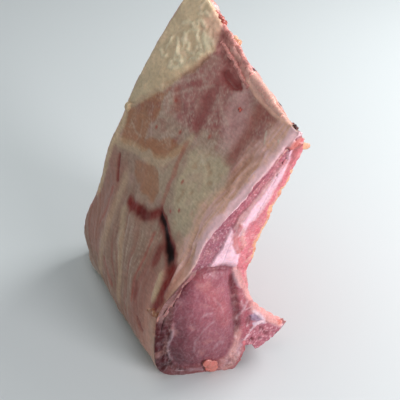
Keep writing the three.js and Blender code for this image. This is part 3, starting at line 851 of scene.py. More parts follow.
def flesh_material(name, finish):
    """A soft wet material that shows a piece's own paint and gloss."""
    material = bpy.data.materials.new(name)
    material.use_nodes = True
    nodes = FleshNodes(material.node_tree)
    place = nodes.add("ShaderNodeTexCoord", {})["Object"]
    paint = nodes.add("ShaderNodeAttribute", {}, attribute_name="paint")["Color"]
    gloss = nodes.add("ShaderNodeAttribute", {}, attribute_name="gloss")["Fac"]
    along = {"Vector": place, "Rotation": THREAD_TURN, "Scale": (1, THREAD_LENGTH, 1)}
    run = nodes.add("ShaderNodeMapping", along, vector_type="TEXTURE")["Vector"]
    grain = nodes.spread(nodes.noise(place, finish.grain, 4), 1 - finish.mottle, 1 + finish.mottle)
    threads = nodes.spread(nodes.noise(run, THREAD_SIZE, 3), -finish.thread, finish.thread)
    dull = nodes.spread(gloss, 0, 1, DULL_SPAN)
    light = nodes.add("ShaderNodeMath", {0: threads, 1: dull, 2: grain}, operation="MULTIPLY_ADD")["Value"]
    wetness = nodes.spread(nodes.noise(place, finish.grain * 3, 3), -WETNESS, WETNESS)
    rough = nodes.add("ShaderNodeMath", {0: gloss, 1: wetness}, operation="ADD", use_clamp=True)
    bumps = {"Height": nodes.noise(place, finish.pore, 5), "Distance": finish.bump * MM, "Strength": 1}
    color = nodes.add("ShaderNodeVectorMath", {0: paint, "Scale": light}, operation="SCALE")
    nodes.feed(material.node_tree.nodes["Principled BSDF"], {
        "Base Color": color["Vector"],
        "Roughness": rough["Value"],
        "Normal": nodes.add("ShaderNodeBump", bumps)["Normal"],
        "Specular IOR Level": nodes.spread(gloss, *SHEEN, SHEEN_SPAN),
        "Subsurface Weight": finish.soak,
        "Subsurface Radius": SOAK_SPREAD,
        "Subsurface Scale": SOAK_DEPTH * MM,
        "Coat Weight": finish.wet,
        "Coat Roughness": FILM_ROUGH,
    })
    return material


FAT_FINISH = Finish(grain=1.8, mottle=0.07, pore=0.9, bump=0.1, soak=0.06, wet=0, thread=0.11)
MUSCLE_FINISH = Finish(grain=1.2, mottle=0.1, pore=0.8, bump=0.24, soak=0.1, wet=0.1)
SEAM_FINISH = Finish(grain=1.6, mottle=0.04, pore=1.0, bump=0.08, soak=0.2, wet=0.03)
RIB_MEAT_FINISH = Finish(grain=1.2, mottle=0.12, pore=0.9, bump=0.15, soak=0.12, wet=0.05)
BONE_FINISH = Finish(grain=1.4, mottle=0.1, pore=0.9, bump=0.15, soak=0.1, wet=0.05)
SCRAP_MEAT_FINISH = Finish(grain=1.0, mottle=0.12, pore=0.8, bump=0.15, soak=0.12, wet=0.05)
SCRAP_FAT_FINISH = Finish(grain=1.0, mottle=0.08, pore=0.8, bump=0.12, soak=0.15, wet=0.05)


# The pieces

STREAK_HEIGHT = 60  # height at which the fibres' places are measured


def streak_places(points):
    """Places along the fibres of the lower back, which lean towards the loin."""
    lean = points[:, 2] - STREAK_HEIGHT
    across = (points[:, 1] - lean * 0.6) / (1 + np.clip(lean, -45, 60) * 0.01)
    return np.column_stack([across, points[:, 2] / 12, points[:, 0] / 12])


def paint_low_fat(fat, soft):
    """The darker lower part with its fibres."""
    points = fat.points
    # Painted shade: the fat darkens towards the foot; the fibres below are its own colour
    low = fade(points[:, 2] + soft * 8, 100, 62)
    fat.wash(low * 0.85, tone("low"))
    bent = points + np.column_stack([soft * 0, fractal(points, 25, 2, 28) * 5, soft * 0])
    fibre = streak_places(bent)
    wide = fractal(fibre, 7, 2, 31)
    thin = fractal(fibre, 2.2, 3, 32)
    hair = ridges(fibre, 2.6, 2, 36) ** 3
    patchy = fade(fractal(points, 18, 2, 37), -0.3, 0.5)
    fat.wash(low * fade(wide + thin * 0.3, 0, 0.8) * 0.5, tone("brown"))
    fat.wash(low * fade(-wide - thin * 0.4, 0.05, 0.8) * 0.55, tone("base"))
    fat.wash(low * fade(thin, 0.3, 0.8) * 0.25, tone("wine"))
    fat.wash(low * hair * patchy * 0.35, tone("frost"))
    fat.lift(low * (-wide * 0.5 - thin * 0.1 + hair * patchy * 0.12))


def paint_thin_fat(fat, side, soft, fine):
    """Mottling and pale threads where the fat is thin."""
    points = fat.points
    thin = fade(points[:, 2] + soft * 8, 104, 124) * (1 - patch_mask(side, CREPE_FIELD, 8) * 0.7)
    blotch = fractal(points + np.column_stack([soft, fine, soft]) * 2, 11, 4, 41)
    fat.wash(thin * fade(blotch, 0.05, 0.6) * 0.5, tone("wine"))
    fat.wash(thin * fade(-blotch, 0.1, 0.7) * 0.35, tone("base"))
    warped = points + np.column_stack([sway(points, 7, 2, 42), soft]) * 1.5
    frost = ridges(stretched(warped, (0.2, 0.9, -0.3), 3), 2.2, 3, 44) ** 2
    dusty = fade(fractal(points, 15, 3, 45), -0.2, 0.5) * fade(points[:, 2], 84, 108)
    fat.wash(frost * dusty * 0.4, tone("frost"))
    fat.lift(frost * dusty * 0.15)
    steep = ridges(stretched(warped, (0.3, -0.5, 0.8), 4), 2.6, 2, 46) ** 3
    fat.wash(steep * thin * 0.35, tone("frost"))


def paint_crepe(fat, side, soft):
    """The yellow field, crinkled like crepe."""
    points = fat.points
    crinkled = patch_mask(side, CREPE_FIELD, 12)
    crepe = fractal(stretched(points, (0, 0.9, 0.25), 2.5), 2.4, 3, 33)
    fat.lift(crinkled * crepe * 0.16)
    fat.shade(crinkled * crepe * 0.12)
    fat.wash(crinkled * fade(soft, 0.1, 0.6) * 0.4, tone("base"))
    fat.wash(crinkled * fade(-soft, 0.2, 0.7) * 0.35, tone("tan"))


def paint_sawn_edge(fat, side, soft, fine):
    """The raw strip and the pale roll along the sawn edge."""
    raw = patch_mask(side, RAW_FIELD, 5)
    fat.wash(raw * fade(soft + fine * 0.5, 0.05, 0.6) * 0.7, tone("pale"))
    fat.wash(raw * fade(-soft - fine * 0.5, 0.1, 0.6) * 0.6, tone("wine"))
    fat.lift(raw * (soft * 0.8 + fine * 0.2))
    fat.polish(raw * fade(fine, 0, 0.4), 0.26)
    roll = patch_mask(fat.side, ROLL_FIELD, 1)
    fat.wash(roll * 0.9, tone("roll"))
    fat.wash(roll * fade(soft, 0, 0.6) * 0.5, tone("pale"))
    fat.polish(roll, 0.3)


CURL_ACROSS = np.array((0.3, 1.1, 0.2))  # turns of the curled ridges to a millimetre, each way
CURL_SWIRL = 8


def paint_pad(fat, side, soft, fine):
    """The thick cream pad of the shoulder corner with its curled ridges."""
    points = fat.points
    pad = patch_mask(side, PAD_OUTLINE, 1.6)
    fat.wash(pad * 0.94, tone("cream"))
    fat.lift(pad * 0.9)
    fat.wash(pad * fade(points[:, 1] + soft * 4, 42, 60) * 0.5, tone("yellow"))
    fat.wash(pad * fade(soft, 0.2, 0.8) * 0.12, tone("rim"))
    fat.shade(pad * (soft * 0.1 + fine * 0.02))
    fat.polish(pad, 0.34)
    swirl = fractal(points, 17, 2, 54) * CURL_SWIRL + fractal(points, 8, 2, 51) * 2.6
    worms = np.sin(points @ CURL_ACROSS + swirl)
    curled = pad * patch_mask(side, CURL_FIELD, 9) * fade(fractal(points, 9, 2, 55), -0.3, 0.3)
    height = bpy.context.scene.rack_fat.curls / MM
    fat.lift(curled * worms * height / 4)
    # Painted shade and highlight: the curls darken in their valleys and take pale frost on their crests
    fat.shade(curled * worms * 0.06)
    fat.wash(curled * fade(worms, 0, 1) * 0.25, tone("frost"))
    fat.wash(pad * patch_mask(side, PEACH_FIELD, 7) * 0.6, tone("rim"))
    bent = fat.side + sway(points, 5, 2, 56)
    for line in RIBBONS:
        ribbon = line_mask(bent, line, 0.5, 1.3, 0.7) * pad
        fat.lift(ribbon * height)
        fat.wash(ribbon * 0.8, tone("ribbon"))
        fat.polish(ribbon, 0.32)
    fold = line_mask(side, PAD_FOLD, 1.8, 1.6)
    fat.lift(fold * 0.9)
    foot = line_mask(side, PAD_FOOT, 0.6, 1.6)
    fat.wash(foot * 0.5, tone("tan"))
    fat.lift(-foot * 0.6)


# How far the fat falls off at the loin cut, by height
LIP_HEIGHTS = (100, 117, 126, 133, 140, 150)
LIP_DROPS = (1.1, 0, 0, 1.3, 1.9, 1.2)
LIP_RUN = 8  # how far from the cut it begins to fall
LIP_SWELL = 0.9  # how far it swells before that
LIP_DEPTH = 3.4  # how deep the cut edge of the fat gives way
LIP_FOOT = 52  # height below which the edge stays sharp


def loin_rim(fat):
    """The corner between the skin and the loin cut, from the foot up: places and outward directions."""
    corner = (fat.loin == 1) & (fat.facing[:, 0] < -0.2) & (fat.points[:, 2] > LIP_FOOT - 20)
    rim = np.flatnonzero(corner)
    rim = rim[np.argsort(fat.points[rim, 2])]
    outward = fat.facing[rim] * (1, 0, 1)
    return fat.points[rim], outward / np.linalg.norm(outward, axis=1)[:, None]


def round_lip(fat):
    """Rounds the fat over towards the loin cut, and gives each point's distance from the cut."""
    places, outward = loin_rim(fat)
    height = fat.points[:, 2]
    gap = fat.points[:, 1] - np.interp(height, places[:, 2], places[:, 1])
    across = np.full(len(height), 99.0)
    cut = np.flatnonzero(fat.loin == 1)
    steps = fat.points[cut][:, None, [0, 2]] - places[None, :, [0, 2]]
    across[cut] = np.linalg.norm(steps, axis=2).min(axis=1)
    share = np.clip(gap / LIP_RUN, 0, 1)
    full = np.interp(height, LIP_HEIGHTS, LIP_DROPS)
    skin_drop = full * (1 - share) ** 2 - LIP_SWELL * np.sin(math.pi * share)
    drop = np.where(fat.loin == 1, full * np.clip(1 - across / (LIP_DEPTH + full), 0, 1), skin_drop)
    drop *= fade(height, LIP_FOOT, LIP_FOOT + 25) * fade(fat.facing[:, 0] - fat.loin, 0.3, 0)
    for n in (0, 2):
        fat.points[:, n] -= np.interp(height, places[:, 2], outward[:, n]) * drop
    return gap


RIM_RUN = (0.61, 0, 0.79)  # direction of the upper loin edge


def paint_rim_strip(fat, gap, soft):
    """The wrinkled strip of fat along the loin cut, and its glossy lip."""
    skin = (1 - fat.loin) * fade(fat.facing[:, 0], 0.2, -0.1)
    high = fade(fat.points[:, 2], 55, 80)
    strip = fade(gap + soft * 6, 26, 10) * skin
    fat.wash(strip * 0.85 * (0.4 + 0.6 * high), tone("rim"))
    wave = fractal(stretched(fat.points, RIM_RUN, 9), 4.6, 3, 27)
    folds = strip * fade(gap, 3, 7) * high
    crests = ridges(stretched(fat.points, RIM_RUN, 10), 5, 2, 29) ** 2
    fat.lift(folds * (wave * 0.7 + crests * 0.4))
    # Tan in the folds' valleys and the lip colour on their crests: tissue colour with painted shade in the
    # valleys and painted highlights on the crests
    fat.wash(folds * fade(-wave, 0.1, 0.7) * 0.4, tone("tan"))
    fat.wash(folds * crests * 0.6, tone("lip"))
    fat.polish(folds * crests, 0.28)
    lip = np.maximum(fade(gap + soft * 3 + wave * 1.5, 7, 3) * skin, fat.loin) * high
    fat.wash(lip * 0.9 * (0.35 + 0.65 * fade(fat.points[:, 2], 72, 100)), tone("lip"))
    fat.lift(lip * (1 - fat.loin) * wave * 0.4)
    fat.polish(lip, 0.27)


# The lower right corner of the loin cut: height, and how far across the meat reaches there
FOOT_CORNER = ((-2, 15.7), (1.5, 16.3), (3.3, 18.2), (5.1, 20.5), (10, 21.5), (12, 23.4), (14, 30))
FOOT_CORNER_RUN = (-48, -62)  # where along the backbone it begins, and where it is full


def trim_foot(layer):
    """Draws the lower right corner of the loin end in."""
    height = layer.points[:, 2]
    reach = np.interp(height, *zip(*FOOT_CORNER))
    near = fade(layer.points[:, 1], *FOOT_CORNER_RUN) * fade(height, 14, 12)
    layer.points[:, 0] -= np.maximum(layer.points[:, 0] - reach, 0) * near


TUCK = 6  # how far the foot of the fat draws in under the back
TUCK_HEIGHT = 13


def tuck_foot(fat):
    """Draws the lowest fat in, so that the back hangs over it, except at the loin cut."""
    share = fade(fat.points[:, 2], TUCK_HEIGHT, 1) * fade(fat.points[:, 1], -62, -40)
    fat.points[:, 0] += TUCK * share * fade(fat.points[:, 0], -20, -30)


def paint_fat(piece):
    fat = Canvas(piece, tone("base"), 0.5, -1)
    trim_foot(fat)
    tuck_foot(fat)
    gap = round_lip(fat)
    points = fat.points
    wander = sway(points, 12, 4, 5) * 2.2
    side = fat.side + wander
    soft = fractal(points, 9, 3, 22)
    fine = fractal(points, 2.2, 3, 23)
    broad = fractal(points, 30, 3, 21)
    fat.wash(fade(broad, -0.1, 0.5) * 0.35, tone("yellow"))
    fat.wash(fade(soft, 0.1, 0.7) * 0.3, tone("mauve"))
    paint_low_fat(fat, soft)
    fat.draw_patches(side, FAT_PATCHES)
    paint_thin_fat(fat, side, soft, fine)
    paint_crepe(fat, side, soft)
    paint_sawn_edge(fat, side, soft, fine)
    paint_pad(fat, side, soft, fine)
    paint_rim_strip(fat, gap, soft)
    ragged = sway(points, 3, 2, 7) * 0.3
    fat.draw_marks(fat.side + wander * 0.45 + ragged, FAT_MARKS)
    fat.draw_marks(fat.side, RIM_LINES)
    for dot in RED_DOTS:
        spot = fade(np.linalg.norm(fat.side - dot, axis=1), 1.7, 0.6)
        fat.wash(spot * 0.75, tone("vein"))
    fat.wash(fat.shoulder * 0.9, tone("edge"))
    fat.wash(fat.loin * fade(points[:, 2], 70, 50) * 0.9, tone("edge"))
    fat.draw_cuts()
    fat.grain_ends()
    skin = 1 - fat.ends
    fat.lift(skin * (soft * 0.3 + fine * bpy.context.scene.rack_fat.relief / MM))
    fat.shade(skin * (soft * 0.06 + fine * 0.08))
    fat.polish(skin * fade(soft, 0, 0.6), 0.42)
    return fat


SIDE_GROWTH = 0.45  # closes the gap between neighbouring pieces


def paint_cut_piece(piece, color):
    """A layer that shows at the cut ends only."""
    layer = Canvas(piece, tone(color), 0.42)
    trim_foot(layer)
    layer.draw_cuts()
    layer.grain_ends()
    layer.lift((1 - layer.ends) * SIDE_GROWTH)
    top = fade(layer.normals[:, 2], 0.3, 0.6) * fade(layer.points[:, 2], 135, 145) * (1 - layer.ends)
    soft = fractal(layer.points, 6, 3, 75)
    layer.wash(top * 0.9, tone("roll"))
    layer.wash(top * fade(soft, 0, 0.5) * 0.5, tone("raw"))
    layer.lift(top * soft * 0.6)
    return layer


FIBRE_TURN = np.array(Matrix.Rotation(math.radians(38), 3, "X"))


def paint_rib_meat(piece):
    meat = Canvas(piece, tone("rib_red"), 0.36, 1)
    trim_foot(meat)
    points = meat.points
    soft = fractal(points, 7, 3, 101)
    broad = fractal(points, 22, 2, 104)
    fine = fractal(points, 1.5, 3, 102)
    fibres = fractal(points @ FIBRE_TURN * (0.5, 0.2, 1), 1.4, 3, 103)
    inside = fade(meat.facing[:, 0], 0.2, 0.6) * (1 - meat.ends)
    meat.wash(fade(soft, 0, 0.6) * 0.4, tone("pale"))
    meat.wash(fade(-soft - broad * 0.6, 0.1, 0.8) * 0.55, tone("crease"))
    meat.wash(inside * fade(fibres, 0, 0.6) * 0.5, tone("membrane"))
    fatty = inside * fade(np.abs(points[:, 2] - 52 + soft * 6), 9, 3)
    meat.wash(fatty * 0.7, tone("slope"))
    meat.lift(fatty * (1.2 + soft * 0.8))
    meat.draw_cuts()
    meat.grain_ends()
    meat.lift(inside * (soft * 0.5 + fibres * 0.25) + (1 - meat.ends) * 0.3)
    meat.shade(fine * 0.12)
    meat.polish(inside * fade(broad, -0.1, 0.4), 0.26)
    return meat


def paint_rib(piece, seed, end_color, swell):
    rib = Canvas(piece, tone("bone"), 0.36)
    points = rib.points
    soft = fractal(stretched(points, (0.3, 0, 0.95), 4), 4, 3, seed)
    fine = fractal(points, 1.6, 3, seed + 1)
    streaks = fractal(stretched(points, (0.3, 0, 0.95), 9), 1.8, 2, seed + 2)
    middle = (points[:, 1].min() + points[:, 1].max()) / 2
    flank = fade(np.abs(points[:, 1] - middle) + soft * 2, 3, 7)
    rib.wash(fade(soft, 0.1, 0.6) * 0.5, tone("membrane"))
    rib.wash(fade(-soft, 0.2, 0.7) * 0.35, tone("salmon"))
    rib.wash(fade(streaks, 0.25, 0.7) * 0.35, tone("pink"))
    rib.wash(flank * 0.8, tone("rib_red"))
    rib.wash(flank * fade(-soft, 0, 0.6) * 0.6, tone("crease"))
    vessel = fade(np.abs(points[:, 1] - middle + 4.5 + soft * 1.5), 0.9, 0.3)
    rib.wash(vessel * fade(rib.facing[:, 0], 0, 0.4) * 0.5, tone("wine"))
    top = points[:, 2].max()
    sawn = fade(rib.normals[:, 2], 0.5, 0.75) * fade(points[:, 2], top - 5, top - 3)
    rib.wash(sawn * 0.6, tone("raw"))
    rib.wash(sawn * fade(soft + fine * 0.6, -0.1, 0.2), tone(end_color))
    rib.lift(soft * 0.3 + fine * 0.1 + (1 - flank) * swell)
    rib.shade(fine * 0.06)
    rib.polish(fade(soft, -0.2, 0.4), 0.26)
    return rib


# The lower edge of the backbone's near end: across and in height
BONE_FOOT = ((22, 12), (26, 11.3), (29.3, 10.7), (31.5, 5.4), (34, 5.9), (39.4, 9.6), (44.9, 13.3),
             (49, 18.5), (52, 21.5))
BONE_EDGE = ((24, 52), (34, 40), (44, 30), (54, 21))  # its upper edge
BONE_FOOT_RUN = (-46, -60)  # where along the backbone it begins, and where it is full


def paint_vertebra(piece, seed):
    bone = Canvas(piece, tone("marrow"), 0.42)
    points = bone.points
    foot = np.interp(points[:, 0], *zip(*BONE_FOOT)) * fade(points[:, 1], *BONE_FOOT_RUN)
    points[:, 2] = np.maximum(points[:, 2], foot)
    soft = fractal(points, 6, 3, seed)
    sponge = fractal(points, 1.7, 3, seed + 1)
    holes = fade(fractal(points, 1.9, 2, seed + 2), 0.35, 0.6)
    ligament = fractal(stretched(points, (0, 1, 0), 8), 3, 3, seed + 3)
    low, high = points[:, 1].min(), points[:, 1].max()
    ends = np.minimum(points[:, 1] - low, high - points[:, 1])
    end = fade(ends + soft, 3.4, 1.6)
    shell = fade(np.abs(ends - 5 + soft * 1.2), 1.6, 0.4) * (1 - end)
    sawn = fade(bone.facing[:, 0], 0.6, 0.85)
    slope = fade(bone.facing[:, 2], 0.2, 0.5) * (1 - sawn)
    bone.wash(fade(soft, 0.1, 0.6) * 0.4, tone("bone"))
    bone.wash(sawn * fade(sponge, 0.2, 0.7) * 0.5, tone("slope"))
    # The holes of the sawn bone sink and darken: dark marrow with painted shade in them
    bone.wash(sawn * holes * 0.7, tone("crease"))
    bone.wash(sawn * shell * 0.6, tone("slope"))
    bone.wash(slope * 0.8, tone("pink"))
    bone.wash(slope * fade(ligament, -0.1, 0.5) * 0.75, tone("membrane"))
    bone.wash(slope * fade(-ligament - soft, 0.3, 0.9) * 0.5, tone("wine"))
    edge = np.maximum(slope, line_mask(bone.cut, BONE_EDGE, 5, 3))
    bone.wash(edge * (0.72 + 0.18 * fade(points[:, 1], -28, -46)), tone("slope"))
    bone.wash(end * 0.9, tone("membrane"))
    bone.wash(end * fade(soft, 0, 0.6) * 0.4, tone("cartilage"))
    bone.draw_cuts()
    bone.lift(soft * 0.6 + sponge * 0.35 * (1 - end) - sawn * holes * 0.7 + end * 0.6)
    bone.shade(sponge * 0.15)
    bone.polish(np.maximum(slope, end), 0.28)
    return bone


# Trimmings: the small lumps of meat and fat

def surface_place(start, direction):
    """Where a straight line first meets the rack."""
    view = bpy.context.evaluated_depsgraph_get()
    found, place, *_ = bpy.context.scene.ray_cast(view, Vector(start) * MM, Vector(direction))
    if not found:
        raise ValueError(f"nothing to lie on from {start}")
    return np.array(place) / MM


FAR_OFF = -200  # where such a line starts, in front of the rack


def on_loin(across, height):
    return surface_place((across, FAR_OFF, height), (0, 1, 0))


def on_skin(along, height):
    return surface_place((FAR_OFF, along, height), (1, 0, 0))


class Lump(NamedTuple):
    """A rounded lump: its middle, half sizes and turn in degrees."""

    place: tuple
    half: tuple
    turn: tuple = (0, 0, 0)


def places_along(line, count):
    """Evenly spaced places on a line of corners."""
    line = np.array(line, float)
    steps = np.linspace(0, len(line) - 1, count)
    return np.column_stack([np.interp(steps, range(len(line)), line[:, n]) for n in range(line.shape[1])])


def lumps_along(line, count, half, seed, jitter=0, long=1.6, uneven=1):
    """Lumps drawn out along a line in space."""
    chance = np.random.default_rng(seed)
    places = places_along(line, count)
    runs = np.gradient(places, axis=0)
    lumps = []
    for place, run in zip(places, runs):
        width = half * (1 + uneven * chance.uniform(-0.35, 0.3))
        size = width * np.array((1, 1.2, chance.uniform(0.7, 1) * long))
        stray = chance.normal(size=3) * np.linalg.norm(run) * 0.3 * uneven
        turn = Vector(run + stray).to_track_quat("Z", "Y").to_euler()
        middle = place + chance.normal(size=3) * jitter
        lumps.append(Lump(tuple(middle), tuple(size), tuple(np.degrees(turn))))
    return lumps


TRIM_DEPTH = 1.4


def behind_loin(line):
    """A line of the loin cut as places in space, a little behind the cut."""
    return [(x, LOIN_CUT + TRIM_DEPTH, z) for x, z in line]


def lump_piece(name, lumps, voxel, rounds):
    """Lumps grown together to one closed skin."""
    bm = bmesh.new()
    for lump in lumps:
        turn = Euler(np.radians(lump.turn)).to_matrix().to_4x4()
        spread = Matrix.Diagonal((*(Vector(lump.half) * MM), 1))
        place = Matrix.Translation(Vector(lump.place) * MM)
        bmesh.ops.create_icosphere(bm, subdivisions=3, radius=1, matrix=place @ turn @ spread)
    piece = new_piece(name, bm)
    even_skin(piece, voxel, rounds)
    return piece


def paint_scraps(piece, color, raised, sunken, seed, relief):
    """A small lump, with one colour where it is raised and one where it is sunken."""
    scraps = Canvas(piece, tone(color), 0.3)
    soft = fractal(scraps.points, 4, 3, seed)
    fine = fractal(scraps.points, 1.3, 2, seed + 1)
    # The colours follow the relief: where the sunken colour is the darker one it is painted shade in the
    # hollows as well as darker tissue, and a paler raised colour is painted light on the tops
    scraps.wash(fade(soft, 0, 0.6) * 0.6, tone(raised))
    scraps.wash(fade(-soft, 0.1, 0.7) * 0.6, tone(sunken))
    scraps.lift((soft + fine * 0.4) * relief)
    scraps.shade(fine * 0.1)
    return scraps


def paint_web(piece):
    """Flesh that carries the loin cut on over the gap beside the backbone."""
    web = Canvas(piece, tone("pink"), 0.32)
    web.wash(line_mask(web.cut, BONE_EDGE, 7, 4) * 0.9, tone("slope"))
    web.draw_cuts()
    web.grain_ends()
    return web


# Which faces of a layer show, and the size of their cells
SKIN_FACING = 0.15
RIB_FACING = 0.2
TOP_FACING = 0.6
FAT_CELL = 1.1
EYE_CELL = 0.7
CUT_CELL = 0.6
RIB_MEAT_CELL = 0.95


def cut_end(face):
    return abs(face.normal.y) > END_FACING


def cut_end_or_top(face):
    return cut_end(face) or face.normal.z > TOP_FACING


def skin_side(face):
    return cut_end(face) or face.normal.x < SKIN_FACING


def rib_side(face):
    return cut_end_or_top(face) or face.normal.x > RIB_FACING


class RACK_OT_fat(bpy.types.Operator):
    """Shape and paint the fat over the back"""

    bl_idname = "rack.fat"
    bl_label = "Fat cap"

    def execute(self, context):
        material = flesh_material("lamb_fat", FAT_FINISH)
        piece = rounded_piece("lamb_fat_cap", "fat_cap", skin_side, FAT_CELL)
        finish_piece(piece, paint_fat(piece), material, ["fat_cap"])
        return {"FINISHED"}


# A muscle's colour and first name, the faces that show, the size of their cells, and its slot
MUSCLES = (("eye", cut_end, EYE_CELL, "muscle"), ("cap", cut_end_or_top, CUT_CELL, "muscle"),
           ("back", cut_end, CUT_CELL, "dark_muscle"))


class RACK_OT_muscles(bpy.types.Operator):
    """Shape and paint the eye, cap and back muscles"""

    bl_idname = "rack.muscles"
    bl_label = "Muscles"

    def execute(self, context):
        material = flesh_material("lamb_muscle", MUSCLE_FINISH)
        for name, shows, size, slot in MUSCLES:
            node = f"{name}_muscle"
            piece = rounded_piece(f"lamb_{node}", node, shows, size)
            finish_piece(piece, paint_cut_piece(piece, name), material, [node])
        return {"FINISHED"}


class RACK_OT_seam(bpy.types.Operator):
    """Shape and paint the seam of fat in the flap"""

    bl_idname = "rack.seam"
    bl_label = "Seam of fat"

    def execute(self, context):
        material = flesh_material("lamb_seam_fat", SEAM_FINISH)
        piece = rounded_piece("lamb_fat_seam", "fat_seam", cut_end_or_top, CUT_CELL)
        finish_piece(piece, paint_cut_piece(piece, "seam"), material, ["fat_seam"])
        return {"FINISHED"}


class RACK_OT_rib_meat(bpy.types.Operator):
    """Shape and paint the red meat that the ribs lie in"""

    bl_idname = "rack.rib_meat"
    bl_label = "Rib meat"

    def execute(self, context):
        material = flesh_material("lamb_rib_meat", RIB_MEAT_FINISH)
        piece = rounded_piece("lamb_rib_meat", "rib_meat", rib_side, RIB_MEAT_CELL)
        finish_piece(piece, paint_rib_meat(piece), material, ["rib_meat"])
        return {"FINISHED"}


RED_ENDS = ("rib_4", "rib_5")  # ribs whose sawn end is raw, not dark
BONE_GROWTH = 0.5
RIB_SWELL = 0.7  # how far a rib stands out of its meat; the first lies level with it
RIB_SEED = 200
VERTEBRA_SEED = 300
SEED_STEP = 10


class RACK_OT_bones(bpy.types.Operator):
    """Shape and paint the ribs and the split backbone"""

    bl_idname = "rack.bones"
    bl_label = "Ribs and backbone"

    def execute(self, context):
        material = flesh_material("lamb_bone", BONE_FINISH)
        for n, node in enumerate(RIBS):
            rib = grown_piece(f"lamb_{node}", node, BONE_GROWTH if n else 0)
            end_color = "raw" if node in RED_ENDS else "sawn"
            paint = paint_rib(rib, RIB_SEED + SEED_STEP * n, end_color, RIB_SWELL if n else 0)
            finish_piece(rib, paint, material, [node])
        for n, node in enumerate(VERTEBRAE):
            bone = grown_piece(f"lamb_{node}", node, BONE_GROWTH)
            paint = paint_vertebra(bone, VERTEBRA_SEED + SEED_STEP * n)
            finish_piece(bone, paint, material, [node])
        return {"FINISHED"}


# The ragged meat and the crumbs along the ribs' edge of the loin cut
RIB_TRIM = ((21.6, 66), (23.4, 71.8), (24.9, 75.8), (26.7, 82.7), (27.1, 89), (29.3, 93.5), (30.9, 98.2),
            (32.8, 101.5), (34.2, 105.2), (35.4, 110.8), (38.7, 116.7), (41.7, 122.7), (45.4, 128.4),
            (47.5, 134.5), (51, 140.2), (53.2, 146.1), (53.4, 149))
CRUMB_RUN = ((26.3, 75.8), (28.2, 82.7), (28.6, 89), (30.8, 93.5), (32.6, 98.2), (34.6, 101.4), (35.9, 105.2),
             (37.1, 110.8), (40.3, 116.7), (43.3, 122.7), (47, 128.4), (48.8, 134))
# The flesh between the loin cut and the backbone's near end
WEB = (
    Lump((19.5, -63.4, 64), (3.2, 2.0, 8)),
    Lump((21.5, -64.1, 54), (4, 2.2, 8)),
    Lump((23.5, -65.4, 45), (5, 2.6, 7)),
    Lump((28, -65.6, 38), (6, 2.8, 5), (0, 35, 0)),
    Lump((33.5, -65.6, 32), (6, 3, 4.5), (0, 40, 0)),
    Lump((39.5, -65.6, 27), (5.5, 3, 3.4), (0, 40, 0)),
    Lump((45, -65.6, 23), (4.5, 2.6, 2), (0, 30, 0)),
    Lump((20.5, -65.8, 46), (3.4, 1.8, 9)),
    Lump((21.5, -67, 34), (4.6, 2.2, 9)),
    Lump((24.5, -66.8, 27), (5, 2.6, 5)),
    Lump((22, -68.2, 22), (4, 2.2, 5)),
)
# The roll and the raw meat along the sawn edge
ROLL_RUN = ((51, -11, 160), (51.6, -16, 159.4), (51.6, -24, 158.6), (51.2, -32, 158))
ROLL_END = ((51.2, -30, 158), (51, -37, 157.4), (51.2, -45, 156.8))
RAW_OUTER = ((50.2, 34, 172.6), (50.4, 26, 170.2), (50.8, 18, 168.2), (51.2, 10, 166.2), (51, 2, 163.8),
             (51, -7, 161.4))
RAW_INNER = ((46.6, 22, 165.6), (47, 14, 163.6), (47, 6, 161.4), (46.6, -2, 159.2), (46.4, -10, 157.2))
# A rib's head: its middle from the rib's own middle and foot, and its half sizes
RIB_HEAD = (
    Lump((1, 0, 2), (3.2, 5.6, 5)),
    Lump((1.5, 0, -4), (3, 4.4, 5)),
    Lump((2, 0.5, -9), (4, 5.4, 4)),
)
FIRST_HEAD = Lump((-2, 1, -1), (2.4, 4, 5))
EDGE_NUB = ((52.4, 20, 169.4), (53.2, 18.5, 169.4), (53.8, 17, 168.6))
RED_TAG = ((49.6, 41, 176.4), (50.4, 37, 175.2), (51, 33, 173.8))
TIP_TAG = (Lump((55.4, -63.8, 147.6), (1.8, 1.1, 1.3)), Lump((57.4, -63.8, 147), (1.7, 1, 1)))
RIB_CHIPS = (Lump((53.2, -55.8, 156.3), (0.8, 1.9, 0.6), (-8, 0, 0)),
             Lump((52.8, -59.6, 156.9), (0.7, 1.2, 0.5)))
SPECK = (-18, 147)
# The nub of fat under the eye muscle: across, height, and half sizes
NUB = ((-0.8, 8.8, 2.8, 2.4), (1.8, 7.2, 2.6, 2.6), (0.8, 4.6, 2.8, 2.6), (2.6, 3.4, 2.2, 2.6))
PAD_NUB = (63, 110.5)
# The skin between the fat and the eye muscle, across and up the loin cut
EYE_SKIN = ((-25, 51.4), (-23.5, 53.7), (-20, 59.4), (-17.5, 64.7), (-13.8, 71.1), (-10.4, 75.1),
            (-6.8, 77.6))
EYE_SKIN_DEPTH = (0, 0.6, 0)
PAD_NUB_DEPTH = (1.2, 0, 0)
NICK = ((-53, 47.4), (-55, 48.6), (-57, 50), (-59, 50.4), (-61.5, 51.6))
SCRAP_VOXEL = 0.45
SCRAP_SEED = 411
WEB_VOXEL = 0.5
WEB_SOFTENING = 20


